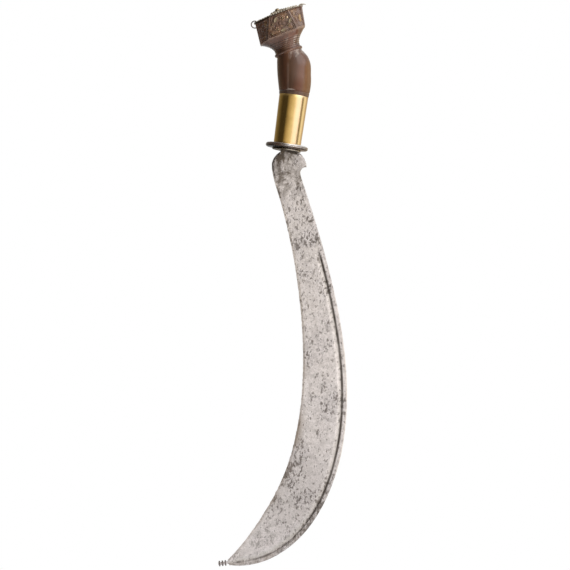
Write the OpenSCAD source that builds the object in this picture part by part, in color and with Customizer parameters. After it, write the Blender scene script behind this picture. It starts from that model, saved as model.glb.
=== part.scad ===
// Curved sacrificial axe-knife with a bent wooden hilt.
// Millimetres. +Z runs up the ferrule towards the head, +X is the blade's convex side, and the
// viewer of the photograph stands at -Y. The origin is the centre of the guard's upper face.

/* [Blade] */
// Length of the blade along its middle line, from the shoulder to the tip finial
blade_len = 484; // [400:1:560]
// Heading of the blade as it leaves the shoulder, in degrees off the ferrule's line
root_heading = 26; // [18:1:32]
// Steady turn over the whole blade, in degrees
even_turn = 28.5; // [0:0.5:40]
// Further turn that gathers towards the tip, in degrees
tip_turn = 62; // [30:1:72]
// How late the further turn comes: a larger value bends nearer the tip
turn_power = 3.6; // [2:0.1:5]
// Width where the blade leaves the shoulder
root_w = 30.7; // [26:0.1:36]
// Greatest width, at the belly
belly_w = 55.5; // [44:0.5:66]
// Place of the greatest width, as a share of the blade's length
belly_at = 0.695; // [0.55:0.005:0.8]
// How slowly the blade widens after the shoulder
widening = 1.87; // [1.2:0.01:2.4]
// How full the blade stays before it closes at the tip
tip_fullness = 3; // [2:0.1:4]
// Width at the tip, where the finial begins
tip_w = 6; // [4:0.1:8]
// Thickness along the spine at the shoulder
spine_t = 6.4; // [5.6:0.1:8]
// Thickness along the spine at the tip
tip_t = 3.8; // [3:0.1:5]
// Thickness behind the cutting bevel, as a share of the spine's
face_share = 0.7; // [0.5:0.05:0.9]
// Width of the cutting bevel on the concave side
bevel_w = 2.2; // [1.2:0.1:4]
// Thickness left at the cutting edge
edge_t = 0.5; // [0.3:0.1:1]

/* [Fuller] */
// Distance along the blade at which the fuller begins
fuller_start = 86; // [40:1:160]
// Width of the full-thickness rib that stands outside the fuller
rib_w = 5; // [3.5:0.1:7]
// Width of the fuller itself
fuller_w = 6.5; // [4:0.1:9]
// Depth of the fuller in each face
fuller_depth = 1.15; // [0.5:0.05:1.4]

/* [Shoulder] */
// Radius of the domed shoulder under the guard
dome_r = 20; // [18:0.5:24]
// Offset of the dome's centre from the ferrule's line, towards the convex side
dome_x = 5.5; // [3:0.5:8]
// Depth of the dome's centre below the guard's upper face
dome_drop = 25.4; // [24:0.1:30]
// Radius of the round notch that leaves the hooked spur
notch_r = 6.2; // [5:0.1:7]
// Width of the tang
tang_w = 13; // [10:0.5:15]
// Thickness of the tang
tang_t = 4.6; // [3.5:0.1:5.4]
// Length of the tang above the guard's upper face
tang_len = 76; // [60:1:84]

/* [Tip finial] */
// Diameter of the finial's thin core
finial_core_d = 3.2; // [2.4:0.1:4.4]
// Diameter of the finial's discs
finial_disc_d = 6.2; // [5.4:0.1:9]
// Thickness of each disc
finial_disc_t = 1.5; // [1:0.1:2]
// Distance from one disc to the next
finial_pitch = 3.4; // [2.6:0.1:5]
// Number of discs
finial_discs = 3; // [2:1:4]

/* [Guard] */
// Diameter of the iron guard disc
guard_d = 48.5; // [44:0.5:60]
// Thickness of the guard disc
guard_t = 5.4; // [4:0.1:7]
// Diameter of the thin washer under the guard
washer_d = 33; // [28:0.5:38]
// Thickness of the washer
washer_t = 2; // [1.2:0.1:3]

/* [Ferrule] */
// Length of the ferrule
ferrule_len = 56; // [48:1:64]
// Outer diameter at the guard
ferrule_low_d = 31.2; // [29:0.1:33]
// Outer diameter at the grip
ferrule_top_d = 33.3; // [31:0.1:35]
// Wall thickness
ferrule_wall = 1.3; // [0.8:0.1:1.8]
// Depth of the resin plug at the bottom of the ferrule
resin_depth = 12; // [6:1:20]
// Thickness of the resin between the tang and the wood
resin_gap = 1.2; // [0.8:0.1:2]

/* [Grip] */
// Length of the bent grip along its middle line
grip_len = 48.5; // [44:0.5:60]
// Bend of the grip, in degrees
bend = 28; // [15:1:34]
// Width of the grip at its upper end, below the ring moulding
grip_end_w = 29.6; // [27:0.1:33]
// How far the grip swells between its ends
grip_swell = 6.4; // [3:0.1:9]
// Depth of the grip from front to back, as a share of its width
grip_flat = 0.94; // [0.85:0.01:1]
// Width of the ring moulding above the grip
moulding_w = 33; // [31:0.1:36]
// Height of the ring moulding
moulding_h = 3.4; // [2.5:0.1:5]
// Width of the neck above the moulding
neck_w = 29.8; // [26:0.1:31]
// Height from the grip to the underside of the head
neck_len = 21.2; // [19:0.1:28]
// Number of incised rings on the neck
neck_rings = 3; // [0:1:4]
// Depth of each incised ring
ring_cut = 0.4; // [0.2:0.05:0.6]

/* [Head] */
// Width of the head at its lower edge
head_low_w = 55.2; // [48:0.1:62]
// Width of the head at its top
head_top_w = 56.6; // [50:0.1:64]
// Depth of the head from front to back
head_depth = 36; // [32:0.5:44]
// Height of the head along its sides
head_h = 24.7; // [21:0.1:30]
// Lean of the head's sides, in degrees
head_lean = 19.4; // [10:0.2:28]
// Tilt of the head's lower edge, in degrees
low_tilt = 31; // [26:0.5:34]
// Tilt of the head's top, in degrees
top_tilt = 28; // [24:0.5:32]
// Width of the flat front face at the lower edge
face_low_w = 36; // [28:0.5:42]
// Width of the flat front face at the top
face_top_w = 22; // [16:0.5:30]
// Width of the narrow faces at the two ends
end_face_w = 14; // [8:0.5:18]

/* [Cap] */
// Thickness of the cap plate
cap_t = 0.8; // [0.6:0.1:1.6]
// Height of each scallop on the cap's edge
scallop_h = 1.2; // [0.6:0.1:2]
// Length of one scallop along the edge
scallop_len = 3.2; // [2.4:0.1:5]
// Height of the turned-up gallery above the wood
gallery_h = 2.7; // [2.2:0.1:4]
// Thickness of the gallery
gallery_t = 0.6; // [0.5:0.1:1]
// Reach of the pointed tongue beyond the head
tongue_len = 5.2; // [4:0.1:8]
// Width of the tongue where it leaves the cap
tongue_w = 9; // [7:0.5:10]
// Height to which the tongue arches above the wood
tongue_rise = 3; // [1:0.1:4]
// Diameter of the rosette on the cap
rosette_d = 19; // [16:0.5:22]
// Number of petals round the rosette
petals = 12; // [8:1:16]
// Height of the rosette's rim above the cap
rosette_h = 3.4; // [2.6:0.1:4.4]
// Height of the boss in the middle of the rosette
boss_h = 3; // [1.6:0.1:4]
// Diameter of the button on the boss
button_d = 6.4; // [4:0.1:6.8]
// Height of the button above the boss
button_h = 4; // [2:0.1:5]
// Length of the leaf that runs from the rosette to the tongue
leaf_len = 11; // [9:0.5:12]
// Width of the leaf
leaf_w = 14; // [8:0.5:18]
// Diameter of the beads on the leaf and the rosette
bead_d = 2.2; // [1.6:0.1:3]

/* [Lanyard ring] */
// Radius of the ring to the middle of its wire
loop_r = 4; // [3.7:0.1:6]
// Diameter of the ring's wire
wire_d = 1.2; // [0.9:0.1:1.4]
// Diameter of the hole in the cap's ear
ear_hole_d = 2; // [1.8:0.1:2.4]
// Metal round the ear's hole
ear_rim = 0.8; // [0.6:0.1:1.2]
// Distance of the ear's hole from the wood
ear_out = 2.4; // [2.2:0.1:3.4]
// Height of the ring's centre above the middle of the cap plate
loop_rise = 0.6; // [0:0.1:1]

/* [Nails and inlay] */
// Diameter of the shank of every nail
shank_d = 1.4; // [1:0.1:1.8]
// Length of every nail's shank in the wood
shank_len = 7; // [4:0.5:9]
// Diameter of the nail heads on the cap
cap_nail_d = 3.4; // [2.6:0.1:4.4]
// Diameter of the stud heads on the faces
stud_d = 3; // [2.2:0.1:3.8]
// Diameter of the larger face rosette
face_rosette_d = 7; // [5.5:0.1:8]
// Thickness of the metal laid on the faces
inlay_t = 0.7; // [0.4:0.1:1]
// Length of each leaf laid on the faces
face_leaf_len = 7; // [6:0.1:10]
// Width of each leaf laid on the faces
face_leaf_w = 3; // [2.5:0.1:5]

/* [Hidden] */
$fn = 48;
fit = 0.15;
hole_spare = 0.5;
nail_bite = 0.4;

// Points sampled along and round the lofted pieces
blade_steps = 50;
dome_steps = 9;
notch_steps = 9;
grip_steps = 14;
cove_steps = 9;
ring_points = 32;

// Shoulder, notch and hooked spur
shoulder_z = -guard_t - washer_t;
dome_z = -dome_drop;
top_angle = asin((shoulder_z - dome_z) / dome_r);
notch_gap = 0.12;
notch_drop = 3.6;
notch_at = [dome_x + dome_r - notch_gap, dome_z - notch_drop];
notch_start_angle = 92;
notch_end_angle = 205;
neck_swing = 22;
tang_root = 4;
root_mid = [6.3, -40];

// Blade across its section: offsets from the convex edge, before they narrow with the tip
rib_round = 1;
wall_run = 0.8;
full_section_w = 18;
fuller_ramp = 6;
fuller_floor = 0.72;
spine_round = 0.45;

// The last stretch of the blade thickens to hold the finial's core
tip_stretch = 16;
tip_margin = 0.35;
finial_root = 2;

// Hilt
bend_r = grip_len * 180 / (PI * bend);
grip_end = [-bend_r * (1 - cos(bend)), ferrule_len + bend_r * sin(bend)];
head_low = grip_end + neck_len * [-sin(bend), cos(bend)];
head_top = head_low + head_h * [-sin(head_lean), cos(head_lean)];
lip_proud = 0.2;
lip_w = ferrule_top_d + 2 * lip_proud;
lip_h = 4;
lip_cut = 0.5;
swell_shift = 1.12;
swell_power = 0.85;
band_edge = 0.9;
cove_gap = 2.6;
cove_share = 0.9;
cove_power = 1.9;
rings_share = 0.55;
ring_cut_half = 0.45;

// Cap: places on the top of the head, seen from above
half_top = head_top_w / 2;
half_depth = head_depth / 2;
scallop_points = 6;
rosette_x = 0.5;
leaf_under = 0.6;
leaf_x = rosette_x + rosette_d / 2 - leaf_under;
dish_t = 0.9;
boss_share = 0.21;
gallery_from = 0.14;
gallery_to = 0.7;
tongue_root = 5.6;
tongue_turn = 172;
tongue_taper = 0.6;
tongue_steps = 10;
ear_place = 0.72;
chamfer_a = [-face_top_w / 2, half_depth];
chamfer_b = [-half_top, end_face_w / 2];
chamfer_dir = (chamfer_b - chamfer_a) / norm(chamfer_b - chamfer_a);
chamfer_out = [chamfer_dir[1], -chamfer_dir[0]];
ear_at = chamfer_a + ear_place * (chamfer_b - chamfer_a) + ear_out * chamfer_out;
end_nail_back = 7.5;
nail_clear = 0.4;
end_nail = [half_top - end_nail_back, tongue_w / 2 + cap_nail_d / 2 + nail_clear];
cap_nail_at = [[-22.8, -4.5], [-19.6, 4], [end_nail[0], -end_nail[1]], end_nail];

// Faces: places from the middle of the head, along its width and up its side
rosette_at = [[2.9, 5], [-4.7, -5.6]];
stud_at = concat(rosette_at, [[8.5, 3.8], [8.6, -5.6], [-12.2, -8.2], [-9.4, 2.1]]);
leaf_at = [[11.3, -0.9, 80], [-5, 5.8, 77], [1.8, -8.3, 30]];

function smooth(t) = t * t * (3 - 2 * t);
function mix(a, b, t) = a + (b - a) * t;
function clamp01(t) = max(0, min(1, t));
function polar(r, a) = [r * cos(a), r * sin(a)];

// Side walls between rings of n points, and two ends that fan out from a point inside each
function loft_faces(rings, n) = let (last = (rings - 1) * n) concat(
    [for (i = [0 : rings - 2], j = [0 : n - 1])
        [i * n + j, i * n + (j + 1) % n, (i + 1) * n + j]],
    [for (i = [0 : rings - 2], j = [0 : n - 1])
        [i * n + (j + 1) % n, (i + 1) * n + (j + 1) % n, (i + 1) * n + j]],
    [for (j = [0 : n - 1]) [rings * n, (j + 1) % n, j]],
    [for (j = [0 : n - 1]) [rings * n + 1, last + j, last + (j + 1) % n]]);

function middle_of(ring, n) = [for (p = ring) 1] * ring / n;

module loft(sections, top = undef) {
    n = len(sections[0]);
    points = concat([for (section = sections, p = section) p], [middle_of(sections[0], n)],
        [is_undef(top) ? middle_of(sections[len(sections) - 1], n) : top]);
    polyhedron(points, loft_faces(len(sections), n), convexity = 6);
}

// The blade's middle line: heading in degrees off -Z towards +X, then places by small steps
function heading(u) = root_heading - even_turn * u - tip_turn * pow(u, turn_power);
function step_of(u) = blade_len / blade_steps * [sin(heading(u)), -cos(heading(u))];
function middle_line(i = 0, p = root_mid) = i > blade_steps
    ? []
    : concat([p], middle_line(i + 1, p + step_of((i + 0.5) / blade_steps)));
blade_line = middle_line();

function widening_at(t) = pow(t, widening) * (widening + 1 - widening * t);
function width_at(u) = u < belly_at
    ? mix(root_w, belly_w, widening_at(u / belly_at))
    : mix(belly_w, tip_w, pow((u - belly_at) / (1 - belly_at), tip_fullness));

// A section between its edge point and its spine point. "done" is the share of the blade
// passed, "keen" is 0 where the concave side is blunt and 1 where it is sharpened, and "thick"
// is 1 where the section stays as thick as its spine.
function blade_profile(w, spine_half, depth, keen, thick) =
    let (k = min(1, w / full_section_w),
        face_half = spine_half * mix(face_share, 1, thick),
        bevel = bevel_w * k,
        rib = rib_w * k,
        inner = rib + fuller_w * k,
        at = function(x) mix(face_half, spine_half, clamp01((x - bevel) / (w - bevel))))
    [[0, mix(face_half - 0.4, edge_t / 2, keen)],
     [bevel, face_half],
     [w - inner, at(w - inner)],
     [w - mix(rib, inner, 0.5), at(w - mix(rib, inner, 0.5)) - fuller_floor * depth],
     [w - rib - wall_run * k, at(w - rib) - depth],
     [w - rib, spine_half],
     [w - rib_round * k, spine_half],
     [w, spine_half * spine_round]];

function blade_ring(edge, spine, spine_half, depth, keen, thick = 0) =
    let (w = norm(spine - edge),
        along = (spine - edge) / w,
        half = blade_profile(w, spine_half, depth, keen, thick))
    concat(
        [for (p = half) [edge[0] + along[0] * p[0], -p[1], edge[1] + along[1] * p[0]]],
        [for (i = [len(half) - 1 : -1 : 0])
            [edge[0] + along[0] * half[i][0], half[i][1], edge[1] + along[1] * half[i][0]]]);

function across(u) = [cos(heading(u)), sin(heading(u))];
function edge_point(i) = blade_line[i] - across(i / blade_steps) * width_at(i / blade_steps) / 2;
function spine_point(i) = blade_line[i] + across(i / blade_steps) * width_at(i / blade_steps) / 2;
function near_tip(i) = smooth(clamp01(1 - (1 - i / blade_steps) * blade_len / tip_stretch));
function half_at(i) = mix(mix(spine_t, tip_t, i / blade_steps) / 2,
    finial_core_d / 2 + tip_margin, near_tip(i));
function fuller_at(i) = fuller_depth * min(tip_t / spine_t + 1 - i / blade_steps, 1)
    * clamp01((i / blade_steps * blade_len - fuller_start) / fuller_ramp) * (1 - near_tip(i));

dome_at = [dome_x, dome_z];
hook_tip = notch_at + polar(notch_r, 90);
hook_angle = asin((hook_tip[1] - dome_z) / dome_r);

dome_sections = [for (i = [0 : dome_steps])
    let (a = mix(top_angle, hook_angle, i / dome_steps))
    blade_ring(dome_at + polar(dome_r, 180 - a), dome_at + polar(dome_r, a), spine_t / 2, 0,
        smooth(i / dome_steps))];

notch_sections = [for (i = [1 : notch_steps])
    let (t = i / (notch_steps + 1),
        swing = dome_at + polar(dome_r, 180 - hook_angle + neck_swing * min(1, 2 * t)),
        edge = mix(swing, edge_point(0), smooth(t)))
    blade_ring(edge, notch_at + polar(notch_r, mix(notch_start_angle, notch_end_angle, t)),
        spine_t / 2, 0, 1)];

blade_sections = [for (i = [0 : blade_steps])
    blade_ring(edge_point(i), spine_point(i), half_at(i), fuller_at(i), 1, near_tip(i))];

module tang(gap = 0, from = shoulder_z - tang_root, to = tang_len) {
    translate([-tang_w / 2 - gap, -tang_t / 2 - gap, from])
        cube([tang_w + 2 * gap, tang_t + 2 * gap, to - from + gap]);
}

module finial() {
    length = finial_pitch * finial_discs + finial_disc_t;
    tip = blade_line[blade_steps];
    translate([tip[0], 0, tip[1]]) rotate([0, 180 - heading(1), 0]) {
        translate([0, 0, -finial_root]) cylinder(h = length + finial_root, d = finial_core_d);
        for (i = [1 : finial_discs])
            translate([0, 0, i * finial_pitch - finial_disc_t / 2])
                cylinder(h = finial_disc_t, d = finial_disc_d);
    }
}

module blade() color("silver") {
    loft(concat(dome_sections, notch_sections, blade_sections));
    tang();
    finial();
}

// A disc with a fully rounded rim and a slot for the tang
module guard_disc() color("dimgray") difference() {
    rim = guard_t / 2 - 0.6;
    rotate_extrude() {
        translate([0, -guard_t]) square([guard_d / 2 - rim, guard_t]);
        translate([0, -guard_t + 0.6]) square([guard_d / 2 - rim + 0.2, guard_t - 1.2]);
        translate([guard_d / 2 - rim, -guard_t / 2]) intersection() {
            circle(r = rim);
            translate([0, -rim]) square(2 * rim);
        }
    }
    tang(fit, -guard_t - 1, 1);
}

module guard_washer() color("darkgoldenrod") difference() {
    translate([0, 0, shoulder_z]) cylinder(h = washer_t, d = washer_d);
    tang(fit, shoulder_z - 1, 1);
}

function ferrule_r(z) = mix(ferrule_low_d, ferrule_top_d, z / ferrule_len) / 2;

module ferrule() color("gold") difference() {
    cylinder(h = ferrule_len, r1 = ferrule_r(0), r2 = ferrule_r(ferrule_len));
    translate([0, 0, -1]) cylinder(h = ferrule_len + 2, r1 = ferrule_r(-1) - ferrule_wall,
        r2 = ferrule_r(ferrule_len + 1) - ferrule_wall);
}

// Resin that fills the bottom of the ferrule and grips the tang in the wood
module resin_fill() color("saddlebrown") difference() {
    union() {
        cylinder(h = resin_depth, r1 = ferrule_r(0) - ferrule_wall - fit,
            r2 = ferrule_r(resin_depth) - ferrule_wall - fit);
        tang(resin_gap, resin_depth - 1, tang_len);
    }
    tang(0, -1, tang_len);
}

// Hilt sections: a point of the ring is mixed from an ellipse and from the head's outline
function round_point(j, hw, hd) = let (a = 225 + j * 360 / ring_points) [hw * cos(a), hd * sin(a)];
function corner(k, hw, face, hd) = [[-face / 2, -hd], [face / 2, -hd], [hw, -end_face_w / 2],
    [hw, end_face_w / 2], [face / 2, hd], [-face / 2, hd], [-hw, end_face_w / 2],
    [-hw, -end_face_w / 2]][k % 8];
side_steps = [8, 3, 2, 3, 8, 3, 2, 3];
side_starts = [0, 8, 11, 13, 16, 24, 27, 29];
function side_of(j) = len([for (s = side_starts) if (s <= j) s]) - 1;
function head_point(j, hw, face, hd) = let (k = side_of(j))
    mix(corner(k, hw, face, hd), corner(k + 1, hw, face, hd), (j - side_starts[k]) / side_steps[k]);

function hilt_ring(at, tilt, hw, hd, square_up, face = face_low_w) = [for (j = [0 : ring_points - 1])
    let (p = mix(round_point(j, hw, hd), head_point(j, hw, face, hd), square_up))
    [at[0] + p[0] * cos(tilt), p[1], at[1] + p[0] * sin(tilt)]];

function grip_at(s) = let (a = bend * s / grip_len)
    [-bend_r * (1 - cos(a)), ferrule_len + bend_r * sin(a)];
function grip_half(s) = let (t = s / grip_len)
    (mix(lip_w, grip_end_w, t) + grip_swell * pow(sin(180 * pow(t, swell_shift)), swell_power)) / 2;
function grip_ring(s, cut = 0) = let (t = s / grip_len, hw = grip_half(s) - cut)
    hilt_ring(grip_at(s), bend * t, hw, hw * mix(1, grip_flat, sin(180 * t)), 0);

function neck_at(d) = grip_end + d * [-sin(bend), cos(bend)];
cove_start = moulding_h + cove_gap;
function cove_share_at(d) =
    cove_share * pow(clamp01((d - cove_start) / (neck_len - cove_start)), cove_power);
function neck_ring(d, cut = 0) = let (f = cove_share_at(d))
    hilt_ring(neck_at(d), mix(bend, low_tilt, f), mix(neck_w, head_low_w, f) / 2 - cut,
        mix(neck_w, head_depth, f) / 2 - cut, f);
function moulding_ring(d, w) = hilt_ring(neck_at(d), bend, w / 2, w / 2, 0);
function head_ring(t, inset = 0) =
    hilt_ring(mix(head_low, head_top, t), mix(low_tilt, top_tilt, t),
        mix(head_low_w, head_top_w, t) / 2 - inset, half_depth - inset, 1,
        mix(face_low_w, face_top_w, t) - inset);

spigot_sections = [for (z = [resin_depth + fit, ferrule_len])
    hilt_ring([0, z], 0, ferrule_r(z) - ferrule_wall - fit, ferrule_r(z) - ferrule_wall - fit, 0)];
grip_sections = concat(
    [grip_ring(0), grip_ring(lip_h - 0.8), grip_ring(lip_h, lip_cut), grip_ring(lip_h + 0.8)],
    [for (i = [2 : grip_steps]) grip_ring(grip_len * i / grip_steps)]);
moulding_sections = [for (p = [[0.8, 0], [1.2, 0.75], [moulding_h * 0.5 + 0.9, 1],
        [moulding_h + 0.4, 0.75], [moulding_h + 0.8, 0]])
    moulding_ring(p[0], mix(neck_w, moulding_w, p[1]))];
ring_pitch = (neck_len - cove_start) * rings_share / (neck_rings + 1);
ring_cut_sections = [for (i = [1 : neck_rings], side = [-1, 0, 1])
    neck_ring(cove_start + i * ring_pitch + side * ring_cut_half, side == 0 ? ring_cut : 0)];
cove_sections = [for (i = [0 : cove_steps])
    neck_ring(mix(cove_start + ring_pitch * (neck_rings + 0.6), neck_len - 0.3, i / cove_steps))];
head_sections = [head_ring(0, band_edge), head_ring(0.03), head_ring(0.5), head_ring(1)];

rosette_foot = [head_top[0] + rosette_x * cos(top_tilt), 0, head_top[1] + rosette_x * sin(top_tilt)];

module handle() color("sienna") difference() {
    loft(concat(spigot_sections, grip_sections, moulding_sections, [neck_ring(cove_start)],
        ring_cut_sections, cove_sections, head_sections), top = rosette_foot);
    tang(resin_gap, resin_depth - 1, tang_len);
    on_cap() for (p = concat([[rosette_x, 0]], cap_nail_at)) translate([p[0], p[1], 0]) nail_hole();
    both_faces() for (p = stud_at) on_face(p) nail_hole();
}

module nail_hole() {
    translate([0, 0, -shank_len - hole_spare]) cylinder(h = shank_len + hole_spare + 1, d = shank_d);
}

// Frames: the top of the head, and a place on its front face
module on_cap() translate([head_top[0], 0, head_top[1]]) rotate([0, -top_tilt, 0]) children();
head_mid = (head_low + head_top) / 2;
mid_tilt = (low_tilt + top_tilt) / 2;
module on_face(p) {
    at = head_mid + p[0] * [cos(mid_tilt), sin(mid_tilt)] + p[1] * [-sin(head_lean), cos(head_lean)];
    translate([at[0], -half_depth, at[1]]) rotate([90, 0, 0]) children();
}
module both_faces() {
    children();
    mirror([0, 1, 0]) children();
}

// The cap's outline: the top of the head with scallops along every side
function top_corner(k) = corner(k, half_top, face_top_w, half_depth);
function scallops(a, b) = let (run = norm(b - a),
        n = max(1, round(run / scallop_len)),
        dir = (b - a) / run,
        out = [dir[1], -dir[0]])
    [for (i = [0 : n - 1], k = [0 : scallop_points - 1])
        mix(a, b, (i + k / scallop_points) / n) + out * scallop_h * sin(180 * k / scallop_points)];
cap_outline = [for (k = [0 : 7]) each scallops(top_corner(k), top_corner(k + 1))];

// A scalloped wall that stands just inside the plate's edge, along a share of one side
module gallery(a, b, from, to) {
    run = norm(b - a) * (to - from);
    n = max(1, round(run / scallop_len));
    low = gallery_h - scallop_h;
    start = mix(a, b, from);
    translate([start[0], start[1], 0]) rotate(atan2(b[1] - a[1], b[0] - a[0])) rotate([90, 0, 0])
        translate([0, 0, -gallery_t]) linear_extrude(gallery_t) polygon(concat([[0, 0]],
            [for (i = [0 : n - 1], k = [0 : scallop_points - 1])
                [run * (i + k / scallop_points) / n, low + scallop_h * sin(180 * k / scallop_points)]],
            [[run, low], [run, 0]]));
}

// The tongue: a strip that rises out of the plate and arches over the head's end, cut to a point
tongue_reach = tongue_root + tongue_len;
function tongue_at(i) = [tongue_reach * i / tongue_steps,
    (tongue_rise - cap_t) * sin(tongue_turn * i / tongue_steps)];
module tongue() translate([half_top - tongue_root, 0, 0]) intersection() {
    rotate([90, 0, 0]) linear_extrude(tongue_w, center = true) polygon(concat(
        [for (i = [0 : tongue_steps]) tongue_at(i)],
        [for (i = [tongue_steps : -1 : 0]) tongue_at(i) + [0, cap_t]]));
    linear_extrude(tongue_rise + 1) polygon([[0, -tongue_w / 2], [tongue_root, -tongue_w / 2],
        [mix(tongue_root, tongue_reach, tongue_taper), -tongue_w / 5], [tongue_reach, 0],
        [mix(tongue_root, tongue_reach, tongue_taper), tongue_w / 5], [tongue_root, tongue_w / 2],
        [0, tongue_w / 2]]);
}

module cap_plate() color("darkkhaki") on_cap() difference() {
    union() {
        linear_extrude(cap_t) {
            polygon(cap_outline);
            translate(ear_at) circle(d = ear_hole_d + 2 * ear_rim);
            polygon([ear_at + (ear_hole_d / 2 + ear_rim) * chamfer_dir,
                ear_at - (ear_hole_d / 2 + ear_rim) * chamfer_dir,
                ear_at - 2.2 * chamfer_dir - (ear_out + 1) * chamfer_out,
                ear_at + 2.2 * chamfer_dir - (ear_out + 1) * chamfer_out]);
        }
        tongue();
        both_faces() {
            gallery(top_corner(0), top_corner(1), gallery_from, 1);
            gallery(top_corner(1), top_corner(2), 0, gallery_to);
        }
    }
    translate([ear_at[0], ear_at[1], -1]) cylinder(h = cap_t + 2, d = ear_hole_d);
    for (p = concat([[rosette_x, 0]], cap_nail_at))
        translate([p[0], p[1], -1]) cylinder(h = cap_t + 2, d = shank_d);
}

// A shallow dish with a raised boss in its middle and a row of round petals on its rim
module cap_rosette() color("goldenrod") on_cap() translate([rosette_x, 0, cap_t]) difference() {
    union() {
        rotate_extrude() polygon([[0, 0], [rosette_d * 0.34, 0], [rosette_d * 0.44, rosette_h - dish_t],
            [rosette_d * 0.44, rosette_h], [rosette_d * 0.3, dish_t], [rosette_d * 0.25, dish_t],
            [rosette_d * boss_share, boss_h], [0, boss_h]]);
        for (i = [0 : petals - 1]) rotate(i * 360 / petals)
            translate([rosette_d / 2 - bead_d / 2, 0, rosette_h - 0.4]) sphere(d = bead_d);
    }
    translate([0, 0, -1]) cylinder(h = boss_h + 2, d = shank_d);
}

// A beaded leaf that runs from the rosette towards the tongue
function leaf_edge(t) = leaf_w / 2 * pow(sin(180 * pow(clamp01(t), 0.8)), 0.8);
module cap_leaf() color("goldenrod") on_cap() translate([leaf_x, 0, cap_t]) {
    steps = 16;
    linear_extrude(0.9) polygon(concat(
        [for (i = [1 : steps - 1]) [leaf_len * i / steps, -leaf_edge(i / steps)]],
        [[leaf_len, 0]],
        [for (i = [steps - 1 : -1 : 1]) [leaf_len * i / steps, leaf_edge(i / steps)]]));
    beads = floor(leaf_len / (bead_d * 1.15));
    for (i = [1 : beads - 1]) {
        edge = leaf_edge(i / beads) - bead_d * 0.35;
        for (y = [-edge, 0, edge])
            translate([leaf_len * i / beads, y, bead_d / 2 + 0.02]) sphere(d = bead_d);
    }
}

// A nail whose domed head seats on z = 0, over metal of a given thickness laid on the wood
module nail(head_d, head_h, through) {
    r = (head_d * head_d / 4 + head_h * head_h) / (2 * head_h);
    intersection() {
        translate([0, 0, head_h - r]) sphere(r = r);
        cylinder(h = head_h + 1, d = head_d + 1);
    }
    translate([0, 0, -through - shank_len]) cylinder(h = through + shank_len + nail_bite, d = shank_d);
}

module cap_button() color("gold") on_cap() translate([rosette_x, 0, cap_t + boss_h])
    nail(button_d, button_h, cap_t + boss_h);

module cap_nails() color("gold") on_cap() for (p = cap_nail_at)
    translate([p[0], p[1], cap_t]) nail(cap_nail_d, cap_nail_d * 0.4, cap_t);

// A petalled disc laid on the front and back faces
module face_rosettes() color("peru") both_faces() for (p = rosette_at) on_face(p) difference() {
    linear_extrude(inlay_t) {
        circle(d = face_rosette_d * 0.7);
        for (i = [0 : 7]) rotate(i * 45) translate([face_rosette_d * 0.36, 0])
            circle(d = face_rosette_d * 0.28);
    }
    translate([0, 0, -1]) cylinder(h = inlay_t + 2, d = shank_d);
}

module face_studs() color("gold") both_faces() for (i = [0 : len(stud_at) - 1]) on_face(stud_at[i])
    translate([0, 0, i < len(rosette_at) ? inlay_t : 0])
        nail(i < 3 ? stud_d : stud_d * 0.75, i < 3 ? 1.3 : 0.9, i < len(rosette_at) ? inlay_t : 0);

module face_leaves() color("goldenrod") both_faces() for (p = leaf_at) on_face(p) rotate(p[2])
    linear_extrude(inlay_t) intersection() {
        r = (face_leaf_len * face_leaf_len / 4 + face_leaf_w * face_leaf_w / 4) / face_leaf_w;
        translate([0, r - face_leaf_w / 2]) circle(r = r);
        translate([0, face_leaf_w / 2 - r]) circle(r = r);
    }

// The wire passes straight through the ear's hole, and the ring hangs out to the left
module lanyard_ring() color("darkgoldenrod") on_cap()
    translate([ear_at[0] - sqrt(loop_r * loop_r - loop_rise * loop_rise), ear_at[1],
            cap_t / 2 + loop_rise])
        rotate([90, 0, 0]) rotate_extrude() translate([loop_r, 0]) circle(d = wire_d);

blade();
guard_disc();
guard_washer();
ferrule();
resin_fill();
handle();
cap_plate();
cap_rosette();
cap_leaf();
cap_button();
cap_nails();
face_rosettes();
face_studs();
face_leaves();
lanyard_ring();
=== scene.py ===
"""Visual model of a curved sacrificial axe-knife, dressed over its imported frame.

The blade hangs down from the hilt, as in the photograph: +Z runs up the ferrule towards the
head, +X is the blade's convex side and the viewer stands at -Y. Lengths are in metres.
"""

import logging
import math
from dataclasses import dataclass, field
from enum import Enum
from typing import Any, Callable, Dict, List, NamedTuple, Optional, Sequence, Tuple

import bpy
import numpy as np
from mathutils import Matrix, Vector


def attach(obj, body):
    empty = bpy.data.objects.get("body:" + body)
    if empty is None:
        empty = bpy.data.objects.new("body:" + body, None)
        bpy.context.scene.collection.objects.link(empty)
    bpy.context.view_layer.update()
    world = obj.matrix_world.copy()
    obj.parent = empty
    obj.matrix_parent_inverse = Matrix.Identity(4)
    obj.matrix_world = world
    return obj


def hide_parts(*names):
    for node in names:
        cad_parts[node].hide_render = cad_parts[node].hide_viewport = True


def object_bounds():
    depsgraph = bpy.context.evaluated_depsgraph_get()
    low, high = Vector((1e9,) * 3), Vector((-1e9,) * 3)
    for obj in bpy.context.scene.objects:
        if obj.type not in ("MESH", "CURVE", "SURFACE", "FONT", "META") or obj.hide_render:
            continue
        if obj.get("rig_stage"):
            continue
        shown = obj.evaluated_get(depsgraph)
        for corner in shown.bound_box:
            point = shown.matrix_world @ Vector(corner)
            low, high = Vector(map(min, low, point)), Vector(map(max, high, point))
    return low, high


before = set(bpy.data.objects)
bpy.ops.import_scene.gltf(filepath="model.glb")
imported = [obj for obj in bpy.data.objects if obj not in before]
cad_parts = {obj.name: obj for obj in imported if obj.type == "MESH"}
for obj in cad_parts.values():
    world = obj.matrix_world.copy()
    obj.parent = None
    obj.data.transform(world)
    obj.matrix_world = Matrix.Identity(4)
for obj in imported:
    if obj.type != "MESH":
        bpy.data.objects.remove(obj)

LOG = logging.getLogger("axe")
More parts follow.
